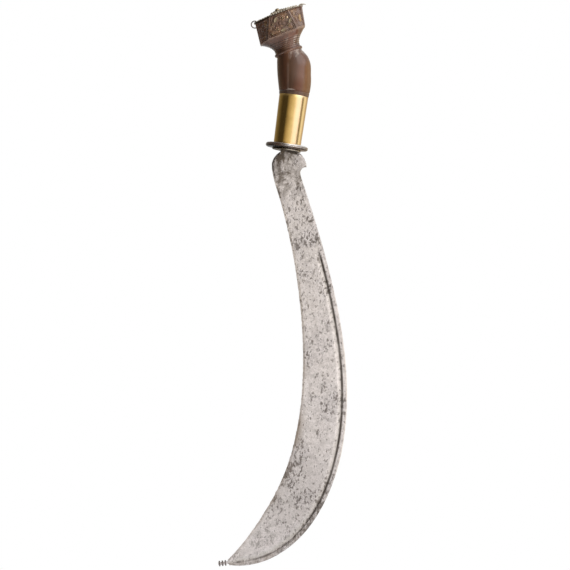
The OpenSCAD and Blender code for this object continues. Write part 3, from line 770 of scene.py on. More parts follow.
@dataclass(frozen=True)
class DarkWood(Finish):
    """Dark oiled hardwood: near black to red-brown on the grip, dusty and partly gilt on the head.

    Each pair of numbers is where a mask starts and where it is whole, in metres.
    """

    heart: Colour = (0.06, 0.022, 0.011)
    brown: Colour = (0.155, 0.058, 0.026)
    red: Colour = (0.17, 0.06, 0.028)
    dusty: Colour = (0.2, 0.128, 0.098)
    amber: Colour = (0.24, 0.12, 0.053)
    # worn wood colour, also laid as the painted highlight streak on the grip
    worn: Colour = (0.35, 0.235, 0.18)
    # gilt colour, also laid as painted warm light on the grip's right edge
    gold: Colour = (0.32, 0.19, 0.075)
    # pale colour of the worn lip by the ferrule and of the painted glints
    bare_and_glint: Colour = (0.52, 0.41, 0.34)
    dirt: Colour = (0.014, 0.009, 0.007)
    streak: Layer = Layer(70.0, 0.55, 0.1, 0.6)
    cloud: Layer = Layer(62.0, 0.52, 0.06)
    rubbed: Layer = Layer(80.0, 0.45, 0.12, 0.85)
    leaf: Layer = Layer(95.0, 0.56, 0.06, 0.7)
    glint_patches: Layer = Layer(300.0, 0.54, 0.12, 0.6)
    drawing: float = 0.2
    grain_share: float = 0.45
    low_z: Span = (0.08, 0.066)
    low_x: Span = (-0.006, -0.001)
    low_share: float = 0.3
    warm_light_x: Span = (0.0065, 0.0105)
    warm_light_z: Span = (0.102, 0.094)
    warm_light_share: float = 0.2
    lit_slope: float = 0.137
    lit_x: float = -0.0009
    lit_off: Span = (0.0019, 0.0005)
    lit_z: Span = (0.094, 0.086)
    lit_share: float = 0.3
    scored_z: float = 0.0611
    scored_off: Span = (0.001, 0.0003)
    scored_left: Span = (-0.0088, -0.0074)
    scored_right: Span = (0.002, -0.004)
    scored_share: float = 0.7
    foot_z: Span = (0.0612, 0.0588)
    foot_share: float = 0.45
    ridge_share: float = 0.42
    hollow_share: float = 0.7
    coat: Span = (0.6, 0.15)
    warm_light_dim: float = 0.85
    rough: Span = (0.34, 0.5)
    pores: Relief = Relief(220.0, 4.0, 0.25 * MM, 0.5)

    def build(self, effects: Effects) -> Material:
        """Builds the material; it reads the attributes that the hilt's carve function stores."""
        constants = {"Coat_Roughness": 0.15, "Coat_IOR": 1.8, "Specular_IOR_Level": 0.3}
        work = Surface(self.name, effects, self.heart, **constants)
        spot = work.axes(work.place)
        grain = work.streaks(420.0, 2.2)
        drawn = work.drawn_out(work.place, self.drawing)
        work.tint(work.streaks(110.0, 2.6), self.brown)
        work.lay(self.streak, self.red, drawn)
        work.tint(grain, self.heart, self.grain_share)
        self.dust_head(work)
        dim = self.shade_grip(work, spot)
        work.put(work.shader.inputs["Coat Weight"], work.blend(dim, *self.coat))
        wear = work.wear(260.0, 0.09)
        work.tint(wear["Ridges"], self.worn, self.ridge_share)
        # painted glints on the right of the neck's rings and under the moulding
        painted_glints = work.times(work.stored("rub"), work.patches(self.glint_patches, drawn))
        work.tint(painted_glints, self.bare_and_glint, self.glint_patches.share)
        foot = work.times(work.span(spot["Z"], *self.foot_z), self.foot_share)
        hollows = work.times(wear["Hollows"], self.hollow_share)
        # darkens the hollows, the neck's rings, the ferrule's joint and the grip's foot, and paints the
        # shadow under the cap
        work.tint(work.most(hollows, work.most(work.stored("dirt_and_shadow"), foot)), self.dirt)
        relief = work.raised(self.pores, work.bump(grain, 0.08 * MM, 0.5))
        return work.finish(work.blend(grain, *self.rough), relief)

    def dust_head(self, work: Surface) -> None:
        """Lays dust over the head in patches, and what is left of its gilding."""
        gilt = work.stored("gilt")
        face = work.mix(work.patches(self.cloud), self.dusty, self.amber)
        # the stored head mask holds dust back on the left facet, as painted shade
        dusted = work.times(work.stored("head"), work.times(work.patches(self.rubbed), self.rubbed.share))
        work.tint(dusted, face)
        whole = work.less(gilt, 1.0, clamp=True)
        left = work.times(work.times(gilt, work.patches(self.leaf), clamp=True), self.leaf.share)
        work.tint(work.most(left, whole), self.gold)

    def shade_grip(self, work: Surface, spot: Any) -> Socket:
        """Paints light on the grip: a warm painted light along its right edge and a painted highlight streak;
        it also darkens the grip's lower end and lays a scored line by the ferrule.

        Args:
            work: the material in the making.
            spot: the three numbers of the place on the object.

        Returns:
            The mask of where the polish is gone.
        """
        x, z = spot["X"], spot["Z"]
        low_end = work.where((z, self.low_z), (x, self.low_x))
        right = work.where((x, self.warm_light_x), (z, self.warm_light_z))
        work.tint(low_end, self.heart, self.low_share)
        # painted light: a warm glow along the grip's right edge
        work.tint(right, self.gold, self.warm_light_share)
        off_streak = work.size_of(work.plus(work.times(z, self.lit_slope), work.plus(x, self.lit_x)))
        # painted highlight: a pale streak up the grip
        work.tint(work.where((off_streak, self.lit_off), (z, self.lit_z)), self.worn, self.lit_share)
        off_line = work.size_of(work.less(z, self.scored_z))
        scored = work.where((off_line, self.scored_off), (x, self.scored_left), (x, self.scored_right))
        work.tint(scored, self.bare_and_glint, self.scored_share)
        return work.most(low_end, work.times(right, self.warm_light_dim))


@dataclass(frozen=True)
class Resin(Finish):
    """Dull red-brown natural resin."""

    tone: Colour = (0.16, 0.06, 0.03)
    dark: Colour = (0.05, 0.02, 0.012)
    cloud: Layer = Layer(200.0, 0.5, 0.2)
    rough: Span = (0.35, 0.6)

    def build(self, effects: Effects) -> Material:
        """Builds the material."""
        work = Surface(self.name, effects, self.tone)
        cloud = work.lay(self.cloud, self.dark)
        return work.finish(work.blend(cloud, *self.rough))


# Workshop: short ways to model with Blender's operators


def alone(piece: Piece) -> Piece:
    """Selects one object and nothing else, and returns it."""
    if bpy.context.mode != "OBJECT":
        bpy.ops.object.mode_set(mode="OBJECT")
    bpy.ops.object.select_all(action="DESELECT")
    piece.select_set(True)
    bpy.context.view_layer.objects.active = piece
    return piece


def named(name: str) -> Piece:
    """Names the newest primitive and returns it."""
    piece = bpy.context.active_object
    piece.name = name
    piece.data.name = name
    return piece


def pick(piece: Piece, kind: str, test: Callable[[Any], bool]) -> int:
    """Enters edit mode with just the chosen elements selected.

    Args:
        piece: the mesh object.
        kind: "VERT", "EDGE" or "FACE".
        test: tells of one vertex, edge or face of the mesh whether it is chosen.

    Returns:
        How many elements are chosen.
    """
    alone(piece)
    bpy.ops.object.mode_set(mode="EDIT")
    bpy.ops.mesh.select_mode(type=kind)
    bpy.ops.mesh.select_all(action="DESELECT")
    bpy.ops.object.mode_set(mode="OBJECT")
    mesh = piece.data
    elements = {"VERT": mesh.vertices, "EDGE": mesh.edges, "FACE": mesh.polygons}[kind]
    count = 0
    for element in elements:
        if test(element):
            element.select = True
            count += 1
    bpy.ops.object.mode_set(mode="EDIT")
    return count


def done() -> None:
    """Leaves edit mode."""
    bpy.ops.object.mode_set(mode="OBJECT")


def modify(piece: Piece, kind: str, **settings: Any) -> None:
    """Adds a modifier with its settings and applies it.

    Args:
        piece: the mesh object.
        kind: the modifier's type.
        **settings: its own properties.
    """
    alone(piece)
    modifier = piece.modifiers.new(kind.lower(), kind)
    for name, value in settings.items():
        setattr(modifier, name, value)
    bpy.ops.object.modifier_apply(modifier=modifier.name)


def lump(piece: Piece, name: str, size: float, strength: float, **settings: Any) -> None:
    """Moves a surface in and out by cloudy lumps.

    Args:
        piece: the mesh object.
        name: the name of the lumps' texture.
        size: how large they are, in metres.
        strength: how far the surface moves over their full range, in metres.
        **settings: other settings of the modifier, and the texture's contrast.
    """
    texture = bpy.data.textures.new(name, "CLOUDS")
    texture.noise_scale = size
    texture.noise_depth = 3
    texture.contrast = settings.pop("contrast", 1.0)
    settings.setdefault("mid_level", 0.5)
    modify(piece, "DISPLACE", texture=texture, strength=strength, texture_coords="LOCAL", **settings)


def soften(piece: Piece, width: float, degrees: float) -> None:
    """Rounds the edges that are sharper than an angle."""
    modify(piece, "BEVEL", width=width, segments=2, limit_method="ANGLE", angle_limit=math.radians(degrees))


def weigh(piece: Piece, name: str, weight: Callable[[Vector], float]) -> str:
    """Paints a vertex group from a function of place.

    Args:
        piece: the mesh object.
        name: the group's name.
        weight: gives the weight at a place; at 0 or less the vertex is left out.

    Returns:
        The group's name.
    """
    group = piece.vertex_groups.new(name=name)
    for vertex in piece.data.vertices:
        value = weight(vertex.co)
        if value > 0:
            group.add([vertex.index], min(value, 1.0), "REPLACE")
    return group.name


def stored(piece: Piece, name: str, value: Callable[[Vector], float]) -> Piece:
    """Stores a function of place on a piece's vertices, for its finish to read.

    Args:
        piece: the mesh object.
        name: the attribute's name.
        value: gives the number at a place.

    Returns:
        The piece.
    """
    values = [value(vertex.co) for vertex in piece.data.vertices]
    piece.data.attributes.new(name, "FLOAT", "POINT").data.foreach_set("value", values)
    return piece


def seated(piece: Piece, where: Matrix) -> Piece:
    """Puts a piece where a matrix says and moves that place into its mesh."""
    alone(piece)
    piece.matrix_world = where @ piece.matrix_world
    bpy.ops.object.transform_apply(location=True, rotation=True, scale=True)
    return piece


def outward(piece: Piece) -> None:
    """Merges doubles and turns every face outwards."""
    pick(piece, "VERT", lambda vertex: True)
    bpy.ops.mesh.remove_doubles(threshold=0.000002)
    bpy.ops.mesh.normals_make_consistent(inside=False)
    done()


def smooth(piece: Piece, degrees: float = 35.0) -> None:
    """Shades a piece smooth, with edges sharper than the angle kept crisp."""
    alone(piece)
    bpy.ops.object.shade_smooth_by_angle(angle=math.radians(degrees))


def joined(pieces: Sequence[Piece], name: str) -> Piece:
    """Joins pieces into one object with a name."""
    alone(pieces[0])
    for piece in pieces:
        piece.select_set(True)
    bpy.ops.object.join()
    return named(name)


def copy_of_node(node: str, name: str) -> Piece:
    """Copies a CAD node as a free piece, with its loose triangles merged.

    Args:
        node: the node's name.
        name: the name of the copy.

    Returns:
        The copy, without a finish.
    """
    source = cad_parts[node]
    alone(source)
    bpy.ops.object.duplicate()
    piece = named(name)
    piece.parent = None
    for key in [key for key in piece.keys() if key.startswith("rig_")]:
        del piece[key]
    piece.data.materials.clear()
    piece.data.normals_split_custom_set_from_vertices([vertex.normal for vertex in piece.data.vertices])
    pick(piece, "VERT", lambda vertex: True)
    bpy.ops.mesh.customdata_custom_splitnormals_clear()
    bpy.ops.mesh.remove_doubles(threshold=0.000005)
    bpy.ops.mesh.tris_convert_to_quads(face_threshold=math.radians(30), shape_threshold=math.radians(60))
    done()
    return piece


def turned(name: str, profile: Sequence[Point], steps: int) -> Piece:
    """Turns a profile about the Z axis, as on a lathe.

    Args:
        name: the piece's name.
        profile: radius and height of each point, in order. It is closed if it starts and ends
            on the axis, or where its first point comes again at its end.
        steps: faces round the piece.

    Returns:
        The closed, outward-facing piece.
    """
    bpy.ops.mesh.primitive_plane_add(size=MM)
    piece = named(name)
    alone(piece)
    bpy.ops.object.mode_set(mode="EDIT")
    bpy.ops.mesh.select_mode(type="VERT")
    bpy.ops.mesh.select_all(action="SELECT")
    bpy.ops.mesh.merge(type="CENTER")
    bpy.ops.transform.translate(value=(profile[0][0], 0, profile[0][1]))
    for before, after in zip(profile, profile[1:]):
        move = (after[0] - before[0], 0, after[1] - before[1])
        bpy.ops.mesh.extrude_region_move(TRANSFORM_OT_translate={"value": move})
    bpy.ops.mesh.select_all(action="SELECT")
    bpy.ops.mesh.spin(steps=steps, angle=math.tau, center=(0, 0, 0), axis=(0, 0, 1))
    done()
    outward(piece)
    return piece


def step(t: float) -> float:
    """Returns a smooth rise from 0 at t = 0 to 1 at t = 1."""
    t = min(1.0, max(0.0, t))
    return t * t * (3 - 2 * t)


def arc(centre: Point, radius: float, start: float, end: float, steps: int) -> List[Point]:
    """Returns points on an arc, from one angle to another in degrees."""
    angles = [math.radians(start + (end - start) * i / steps) for i in range(steps + 1)]
    return [(centre[0] + radius * math.cos(a), centre[1] + radius * math.sin(a)) for a in angles]


def dome(radius: float, height: float, foot: float, steps: int = 6) -> List[Point]:
    """Works out the profile of a nail with a domed head.

    Args:
        radius: the head's radius.
        height: how high its top stands.
        foot: how far the shank reaches down.
        steps: how many straight runs the dome has.

    Returns:
        Radii and heights, from the shank's end up to the axis.
    """
    curve = (radius * radius + height * height) / (2 * height)
    half = math.degrees(math.asin(min(1.0, radius / curve)))
    top = arc((0.0, height - curve), curve, 90 - half, 90, steps)
    shank, under = radius * 0.45, radius * 0.94
    return [(0.0, -foot), (shank, -foot), (shank, 0.0), (under, 0.0)] + top


@dataclass
class Assembly:
    """A sub-assembly: it makes its pieces, dresses them and hands them to the frame."""

    finishes: Dict[Slot, Material]

    def dress(self, piece: Piece, slot: Slot, nodes: Sequence[str], crease: float = 35.0,
              body: Body = Body.KNIFE) -> None:
        """Gives a piece its finish and its place in the frame.

        Args:
            piece: the finished mesh, placed in the row frame.
            slot: the finish that it takes.
            nodes: the CAD nodes that it stands for.
            crease: the angle over which an edge stays crisp, in degrees.
            body: the body that it rides on.
        """
        smooth(piece, crease)
        piece.data.materials.clear()
        piece.data.materials.append(self.finishes[slot])
        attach(piece, body.value)
        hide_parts(*nodes)
        LOG.info("%s: %d faces, rides on %s", piece.name, len(piece.data.polygons), body.value)


@dataclass
class ForgedBlade(Assembly):
    """The blade: one forging from the tang to the finial."""

    length: float = 0.484
    root: Point = (0.0063, -0.040)
    root_heading: float = 26.0
    even_turn: float = 28.5
    tip_turn: float = 62.0
    turn_power: float = 3.6
    root_w: float = 0.0307
    belly_w: float = 0.0555
    tip_w: float = 0.006
    belly_at: float = 0.695
    widening: float = 1.87
    tip_fullness: float = 3.0
    full_section_w: float = 0.018
    line_steps: int = 400
    finer: int = 3
    guard_below: float = -0.0075
    nicked: Span = (0.04, 0.96)
    keen_across: float = -0.97
    hammered: Span = (-0.05, 1.01)
    hammer_fade: float = 0.08
    finial_from: float = 1.0004
    finial_lift: float = math.radians(-11)

    def heading(self, share: float) -> float:
        """Returns the middle line's heading off -Z towards +X, in radians, at a share of it."""
        turned_by = self.even_turn * share + self.tip_turn * share ** self.turn_power
        return math.radians(self.root_heading - turned_by)

    def width(self, share: float) -> float:
        """Returns the blade's width at a share of its length."""
        if share < self.belly_at:
            t = share / self.belly_at
            grown = t ** self.widening * (self.widening + 1 - self.widening * t)
            return self.root_w + (self.belly_w - self.root_w) * grown
        t = (share - self.belly_at) / (1 - self.belly_at)
        return self.belly_w + (self.tip_w - self.belly_w) * t ** self.tip_fullness

    def stations(self) -> Tuple[np.ndarray, np.ndarray, np.ndarray]:
        """Returns points of the middle line, the directions across it and the half widths."""
        stride = self.length / self.line_steps
        points, across, halves = [np.array(self.root)], [], []
        for i in range(self.line_steps + 1):
            angle = self.heading(i / self.line_steps)
            across.append((math.cos(angle), math.sin(angle)))
            halves.append(self.width(i / self.line_steps) / 2)
            middle = self.heading((i + 0.5) / self.line_steps)
            points.append(points[-1] + stride * np.array((math.sin(middle), -math.cos(middle))))
        return np.array(points[:-1]), np.array(across), np.array(halves)

    def mark(self, piece: Piece) -> Tuple[np.ndarray, np.ndarray]:
        """Stores on each vertex what BladeMarks lists, for the finish to read.

        Returns:
            The shares along, from 0 at the root, and across, from -1 at the edge to 1 at the spine.
        """
        points, across, halves = self.stations()
        flat = np.zeros(len(piece.data.vertices) * 3)
        piece.data.vertices.foreach_get("co", flat)
        flat = flat.reshape(-1, 3)
        places = flat[:, [0, 2]]
        gaps = ((places[:, None, :] - points[None, :, :]) ** 2).sum(axis=2)
        nearest = gaps.argmin(axis=1)
        offset = ((places - points[nearest]) * across[nearest]).sum(axis=1) / halves[nearest]
        before_root = (places[:, 1] - self.root[1]).clip(0) / self.length
        end = self.heading(1.0)
        past_tip = ((places - points[-1]) @ np.array((math.sin(end), -math.cos(end)))).clip(0) / self.length
        share = nearest / self.line_steps - before_root + past_tip
        narrow = np.minimum(1.0, 2 * halves[nearest] / self.full_section_w)
        inside = (1 - offset) * halves[nearest] / narrow
        outside = (1 + offset) * halves[nearest] / narrow
        radial = np.hypot(offset * halves[nearest], flat[:, 1])
        marks = BladeMarks(share, offset, inside, outside, radial)
        for name, values in marks._asdict().items():
            layer = piece.data.attributes.new(name, "FLOAT", "POINT")
            layer.data.foreach_set("value", values.astype(np.float32))
        return share, offset

    def build(self) -> None:
        """Builds the forged blade: a finer copy of its node with hammered faces and a nicked edge."""
        piece = copy_of_node("blade", "forged_blade")
        pick(piece, "FACE", lambda face: face.center.z < self.guard_below)
        bpy.ops.mesh.subdivide(number_cuts=self.finer)
        done()
        along, across = self.mark(piece)
        pick(piece, "VERT", lambda vertex: along[vertex.index] > self.finial_from)
        tip = self.stations()[0][-1]
        bpy.ops.transform.rotate(value=self.finial_lift, orient_axis="Y", center_override=(tip[0], 0, tip[1]))
        done()
        edge = piece.vertex_groups.new(name="keen_edge")
        faces = piece.vertex_groups.new(name="forged_faces")
        start, end = self.hammered
        for i, (u, v) in enumerate(zip(along, across)):
            if self.nicked[0] < u < self.nicked[1] and v < self.keen_across:
                edge.add([i], 1.0, "REPLACE")
            if u > start:
                faded = min(1.0, (u - start) / self.hammer_fade, max(0.0, end - u) / self.hammer_fade)
                faces.add([i], float(faded), "REPLACE")
        lump(piece, "nicks", 4 * MM, 0.45 * MM, contrast=3.0, direction="X", mid_level=0.35,
             vertex_group=edge.name)
        lump(piece, "swell", 35 * MM, 0.3 * MM, mid_level=0.62, vertex_group=faces.name)
        self.dress(piece, Slot.STEEL, nodes=["blade"], crease=28)
        modify(piece, "WEIGHTED_NORMAL", keep_sharp=True)


@dataclass
class GuardAndFerrule(Assembly):
    """The iron guard, the thin collar under it and the brass ferrule above it."""

    guard_d: float = 0.0485
    guard_t: float = 0.0054
    collar_d: float = 0.033
    collar_t: float = 0.002
    ferrule_len: float = 0.056
    ferrule_low_d: float = 0.0312
    ferrule_top_d: float = 0.0333
    wall: float = 0.0013
    tang: Point = (0.0133, 0.0049)
    rim_angle: float = 14.0

    def slotted(self, piece: Piece, low: float, high: float) -> None:
        """Cuts the tang's slot through a disc.

        Args:
            piece: the disc.
            low: the height where the cut starts.
            high: the height where it ends.
        """
        bpy.ops.mesh.primitive_cube_add(size=1.0, location=(0, 0, (low + high) / 2))
        cutter = named("tang_cutter")
        cutter.scale = (self.tang[0], self.tang[1], high - low)
        alone(cutter)
        bpy.ops.object.transform_apply(location=False, rotation=False, scale=True)
        modify(piece, "BOOLEAN", object=cutter, operation="DIFFERENCE", solver="EXACT")
        bpy.data.objects.remove(cutter)

    def guard(self) -> None:
        """Turns the guard: a disc with a rounded rim and a groove worn round it."""
        r, t = self.guard_d / 2, self.guard_t
        rim = t / 2 - 0.3 * MM
        groove = 0.35 * MM
        middle = (r - rim, -t / 2)
        lower = arc(middle, rim, -90, -self.rim_angle, 7)
        upper = arc(middle, rim, self.rim_angle, 90, 7)
        profile = [(0.0, -t + 0.3 * MM), (0.018, -t), (0.0195, -t + 0.25 * MM), *lower,
                   (r - groove, -t / 2), *upper, (0.019, -0.1 * MM), (0.017, 0.0), (0.0, 0.0)]
        piece = turned("guard_plate", profile, 96)
        self.slotted(piece, -t - MM, MM)
        lump(piece, "guard_lumps", 0.006, 0.4 * MM)
        self.dress(piece, Slot.IRON, nodes=["guard_disc"], crease=30)

    def collar(self) -> None:
        """Turns the collar: a thin washer with a rolled rim."""
        r, top, t = self.collar_d / 2, -self.guard_t, self.collar_t
        low = top - t
        rim = arc((r - t / 2, top - t / 2), t / 2, -90, 90, 8)
        sunk = low + 0.3 * MM
        profile = [(0.0, sunk), (r - 3 * MM, sunk), (r - 2 * MM, low), *rim, (0.0, top)]
        piece = turned("guard_collar", profile, 80)
        self.slotted(piece, low - MM, top + MM)
        # painted shade: the collar's left side is dulled dark
        stored(piece, "old", lambda co: 1 - step(co.x / (6 * MM) + 0.5))
        self.dress(piece, Slot.AGED, nodes=["guard_washer"], crease=30)

    def ferrule(self) -> None:
        """Turns the ferrule: a tapered tube with rounded rims, dented a little by use."""
        low, high, length, wall = self.ferrule_low_d / 2, self.ferrule_top_d / 2, self.ferrule_len, self.wall
        lip, cut, ease = 0.4 * MM, 0.12 * MM, 0.1 * MM
        rows = 10
        shares = [i / rows for i in range(rows + 1)]
        outer = [(low + (high - low) * share, lip + (length - 2 * lip) * share) for share in shares]
        inner = [(high - wall, length - ease), (low - wall, ease)]
        profile = [(low - lip, 0.0), (low - cut, cut), *outer, (high - cut, length - cut),
                   (high - lip, length), *inner, (low - lip, 0.0)]
        piece = turned("brass_ferrule", profile, 128)
        sides = weigh(piece, "outer_wall", lambda co: float(math.hypot(co.x, co.y) > low - 0.5 * lip))
        lump(piece, "ferrule_dents", 0.016, 0.22 * MM, vertex_group=sides)
        # painted highlight: the ferrule turns paler towards its right side
        stored(piece, "handled_and_highlight", lambda co: 0.85 * step((co.x - MM) / (6 * MM)))
        self.dress(piece, Slot.POLISHED, nodes=["ferrule"], crease=40)

    def build(self) -> None:
        """Builds the guard, the collar and the ferrule, and dresses the hidden resin."""
        self.guard()
        self.collar()
        self.ferrule()
        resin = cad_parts["resin_fill"]
        resin.data.materials.clear()
        resin.data.materials.append(self.finishes[Slot.RESIN])


@dataclass
class HiltShape:
    """Places on the hilt, worked out from its driving sizes."""

    ferrule_len: float = 0.056
    grip_len: float = 0.0485
    bend: float = math.radians(28)
    neck_len: float = 0.0212
    neck_d: float = 0.0298
    moulding_d: float = 0.033
    moulding_at: float = 0.0026
    head_h: float = 0.0247
    lean: float = math.radians(19.4)
    low_tilt: float = math.radians(31)
    top_tilt: float = math.radians(28)
    low_w: float = 0.0552
    top_w: float = 0.0566
    depth: float = 0.036
    face_low_w: float = 0.036
    face_top_w: float = 0.022
    end_face_w: float = 0.014
    cap_t: float = 0.0008
    rosette_x: float = 0.0005
    shank_d: float = 0.0014
    nail_depth: float = 0.0085
    cap_nails: Sequence[Point] = ((-0.0228, -0.0045), (-0.0196, 0.004), (0.0208, -0.0066), (0.0208, 0.0066))
    studs: Sequence[Point] = ((0.0029, 0.005), (-0.0047, -0.0056), (0.0085, 0.0038), (0.0086, -0.0056),
                              (-0.0122, -0.0082), (-0.0094, 0.0021))
    leaves: Sequence[Tuple[float, float, float]] = ((0.0113, -0.0009, 80), (-0.005, 0.0058, 77),
                                                    (0.0018, -0.0083, 30))

    @property
    def grip_end(self) -> Vector:
        """The middle of the grip's upper end."""
        radius = self.grip_len / self.bend
        aside = radius * (1 - math.cos(self.bend))
        return Vector((-aside, 0, self.ferrule_len + radius * math.sin(self.bend)))

    @property
    def neck_axis(self) -> Vector:
        """The direction of the neck."""
        return Vector((-math.sin(self.bend), 0, math.cos(self.bend)))

    @property
    def head_low(self) -> Vector:
        """The middle of the head's lower edge."""
        return self.grip_end + self.neck_len * self.neck_axis

    @property
    def side_up(self) -> Vector:
        """The direction up the head's sides."""
        return Vector((-math.sin(self.lean), 0, math.cos(self.lean)))

    @property
    def head_top(self) -> Vector:
        """The middle of the head's top."""
        return self.head_low + self.head_h * self.side_up

    @property
    def face_right(self) -> Vector:
        """The direction along the head's faces, halfway up."""
        tilt = (self.low_tilt + self.top_tilt) / 2
        return Vector((math.cos(tilt), 0, math.sin(tilt)))

    @property
    def cap(self) -> Matrix:
        """The frame of the head's top: X along its width, Z out of it."""
        right = Vector((math.cos(self.top_tilt), 0, math.sin(self.top_tilt)))
        return matrix_of(right, Vector((0, 1, 0)), self.head_top)

    def on_face(self, across: float, up: float, front: bool = True) -> Matrix:
        """Works out a frame on the front or the back face.

        Args:
            across: how far it is to the side of the face's middle.
            up: how far it is up from there.
            front: whether the face is the front one.

        Returns:
            The frame, X to the side and Z out of the face.
        """
        middle = (self.head_low + self.head_top) / 2 + across * self.face_right + up * self.side_up
        side = 1.0 if front else -1.0
        at = middle - Vector((0, side * self.depth / 2, 0))
        return matrix_of(Vector((side, 0, 0)), Vector((0, 0, 1)), at)

    def face_place(self, co: Vector) -> Tuple[float, float]:
        """Finds a point's place on the head.

        Args:
            co: the point.

        Returns:
            How far across the head and how far up its side it lies, in metres.
        """
        rest = co - self.head_low
        det = self.face_right.x * self.side_up.z - self.face_right.z * self.side_up.x
        across = (rest.x * self.side_up.z - rest.z * self.side_up.x) / det
        up = (self.face_right.x * rest.z - self.face_right.z * rest.x) / det
        return across, up


def matrix_of(right: Vector, forward: Vector, at: Vector) -> Matrix:
    """Builds a frame from two of its directions.

    Args:
        right: its X direction.
        forward: its Y direction.
        at: its origin.

    Returns:
        The frame, whose Z is square to both.
    """
    up = right.cross(forward)
    columns = [(*right, 0), (*forward, 0), (*up, 0), (*at, 1)]
    return Matrix(columns).transposed()


@dataclass
class CarvedHilt(Assembly):
    """The hilt: one block of wood, turned at the neck and carved on the head."""

    shape: HiltShape = field(default_factory=HiltShape)
    grid: float = 0.00034
    ring_grid: float = 0.0003
    band_low: float = 0.0012
    worn_edge: float = 0.0005
    rim: float = 0.0011
    border: float = 0.0031
    bead_pitch: float = 0.0017
    petals: int = 8
    medallion: Point = (0.0036, 0.0074)
    medallion_across: float = 0.0198
    ground_depth: float = 0.0007
    soft: float = 0.0006
    ring_depth: float = 0.0004
    ring_gap: float = 0.0021
    rings_from: float = 0.0054
    rings_to: float = 0.0159
    gilt_leaf: Sequence[float] = (0.0238, -0.001, 0.0021, 0.0048)
    pad: float = 0.0009
    moulding_round: float = 0.00165
    shadow_h: float = 0.0009
    grip_r: float = 0.017
    palm_swell: float = 0.002
    palm_side: float = -0.2
    swell_from: float = math.radians(12)
    swell_rise: float = math.radians(8)
    swell_fall: float = math.radians(6)
    smooth_from: float = 0.012
    side_slope: float = 0.7
    flower_pad: float = 0.0036
    stud_pad: float = 0.0016
    leaf_pad: Point = (0.0035, 0.0015)
    scroll_pitch: Point = (0.0098, 0.0112)
    bloom: Span = (0.0042, 0.0076)
    medallion_bloom: Span = (0.0012, 0.86)
    medallion_rim: float = 0.0007
    medallion_from: float = 0.004
    ring_half: float = 0.0005
    dust_fade: float = 0.004
    dust_in_left_shade: float = 0.2
    left_shade_fade: float = 0.006
    shadow_soft: float = 0.0003
    glint_rise: Span = (-0.009, -0.006)
    glint_fall: Span = (0.001, 0.0)
    ring_soot: float = 0.8

    def close_nail_holes(self, piece: Piece) -> None:
        """Closes the nail holes with wood, since the nails' heads hide them."""
        shape = self.shape
        nails = [(shape.rosette_x, 0.0), *shape.cap_nails]
        holes = [shape.cap @ Matrix.Translation((x, y, 0)) for x, y in nails]
        holes += [shape.on_face(across, up, front) for across, up in shape.studs for front in (True, False)]
        ways = [hole.inverted() for hole in holes]
        reach = shape.shank_d * 0.55

        def near(co: Vector) -> bool:
            """Returns whether a point is within a nail hole's own frame."""
            return math.hypot(co.x, co.y) < reach and abs(co.z) < shape.nail_depth

        def in_hole(face: bpy.types.MeshPolygon) -> bool:
            """Returns whether a face lines one of the holes."""
            corners = [piece.data.vertices[i].co for i in face.vertices]
            return any(all(near(way @ co) for co in corners) for way in ways)

        pick(piece, "FACE", in_hole)
        bpy.ops.mesh.delete(type="FACE")
        bpy.ops.mesh.select_mode(type="VERT")
        bpy.ops.mesh.select_all(action="SELECT")
        bpy.ops.mesh.fill_holes(sides=0)
        done()

    def fill_grip(self, piece: Piece) -> None:
        """Fills out the grip under its moulding, on the convex side where the palm rests."""
        shape = self.shape
        radius = shape.grip_len / shape.bend

        def share(co: Vector) -> float:
            """Returns how far the grip is filled out at a point, from 0 to 1."""
            rise, out = co.z - shape.ferrule_len, co.x + radius
            turn = math.atan2(rise, out)
            side = (math.hypot(rise, out) - radius) / self.grip_r
            rising = step((turn - self.swell_from) / self.swell_rise)
            falling = step((shape.bend - turn) / self.swell_fall)
            return rising * falling * step((side - self.palm_side) / (1 - self.palm_side))

        foot = shape.ferrule_len + self.smooth_from
        pick(piece, "FACE", lambda face: face.center.z > foot and self.up_neck(face.center) < -MM)
        bpy.ops.mesh.subdivide(number_cuts=2, smoothness=1.0)
        done()
        palm = weigh(piece, "palm", share)
        modify(piece, "DISPLACE", strength=self.palm_swell, mid_level=0.0, vertex_group=palm)

    def pick_sides(self, piece: Piece) -> None:
        """Selects the faces of the head's eight sides and hides the rest."""
        shape = self.shape
        out = shape.cap.to_3x3().col[2]
        pick(piece, "FACE", lambda face: shape.face_place(face.center)[1] > self.band_low / 4
             and abs(face.normal.dot(out)) < self.side_slope)
        bpy.ops.mesh.hide(unselected=True)

    def cut(self, places: Sequence[Vector], normal: Vector) -> None:
        """Cuts the shown faces by parallel planes.

        Args:
            places: a point of each plane.
            normal: the direction square to them.
        """
        for at in places:
            bpy.ops.mesh.select_all(action="SELECT")
            bpy.ops.mesh.bisect(plane_co=at, plane_no=normal)

    def shown(self) -> None:
        """Shows hidden faces again and leaves edit mode."""
        bpy.ops.mesh.reveal(select=False)
        done()

    def wear_edges(self, piece: Piece) -> None:
        """Rounds the head's edges as handling has worn them."""
        pick(piece, "FACE", lambda face: self.shape.face_place(face.center)[1] > self.band_low / 4)
        bpy.ops.mesh.dissolve_limited(angle_limit=math.radians(1.5))
        bpy.ops.mesh.hide(unselected=True)
        bpy.ops.mesh.select_mode(type="EDGE")
        bpy.ops.mesh.select_all(action="DESELECT")
        bpy.ops.mesh.edges_select_sharp(sharpness=math.radians(20))
        bpy.ops.mesh.bevel(offset=self.worn_edge, segments=2, affect="EDGES", clamp_overlap=True)
        self.shown()

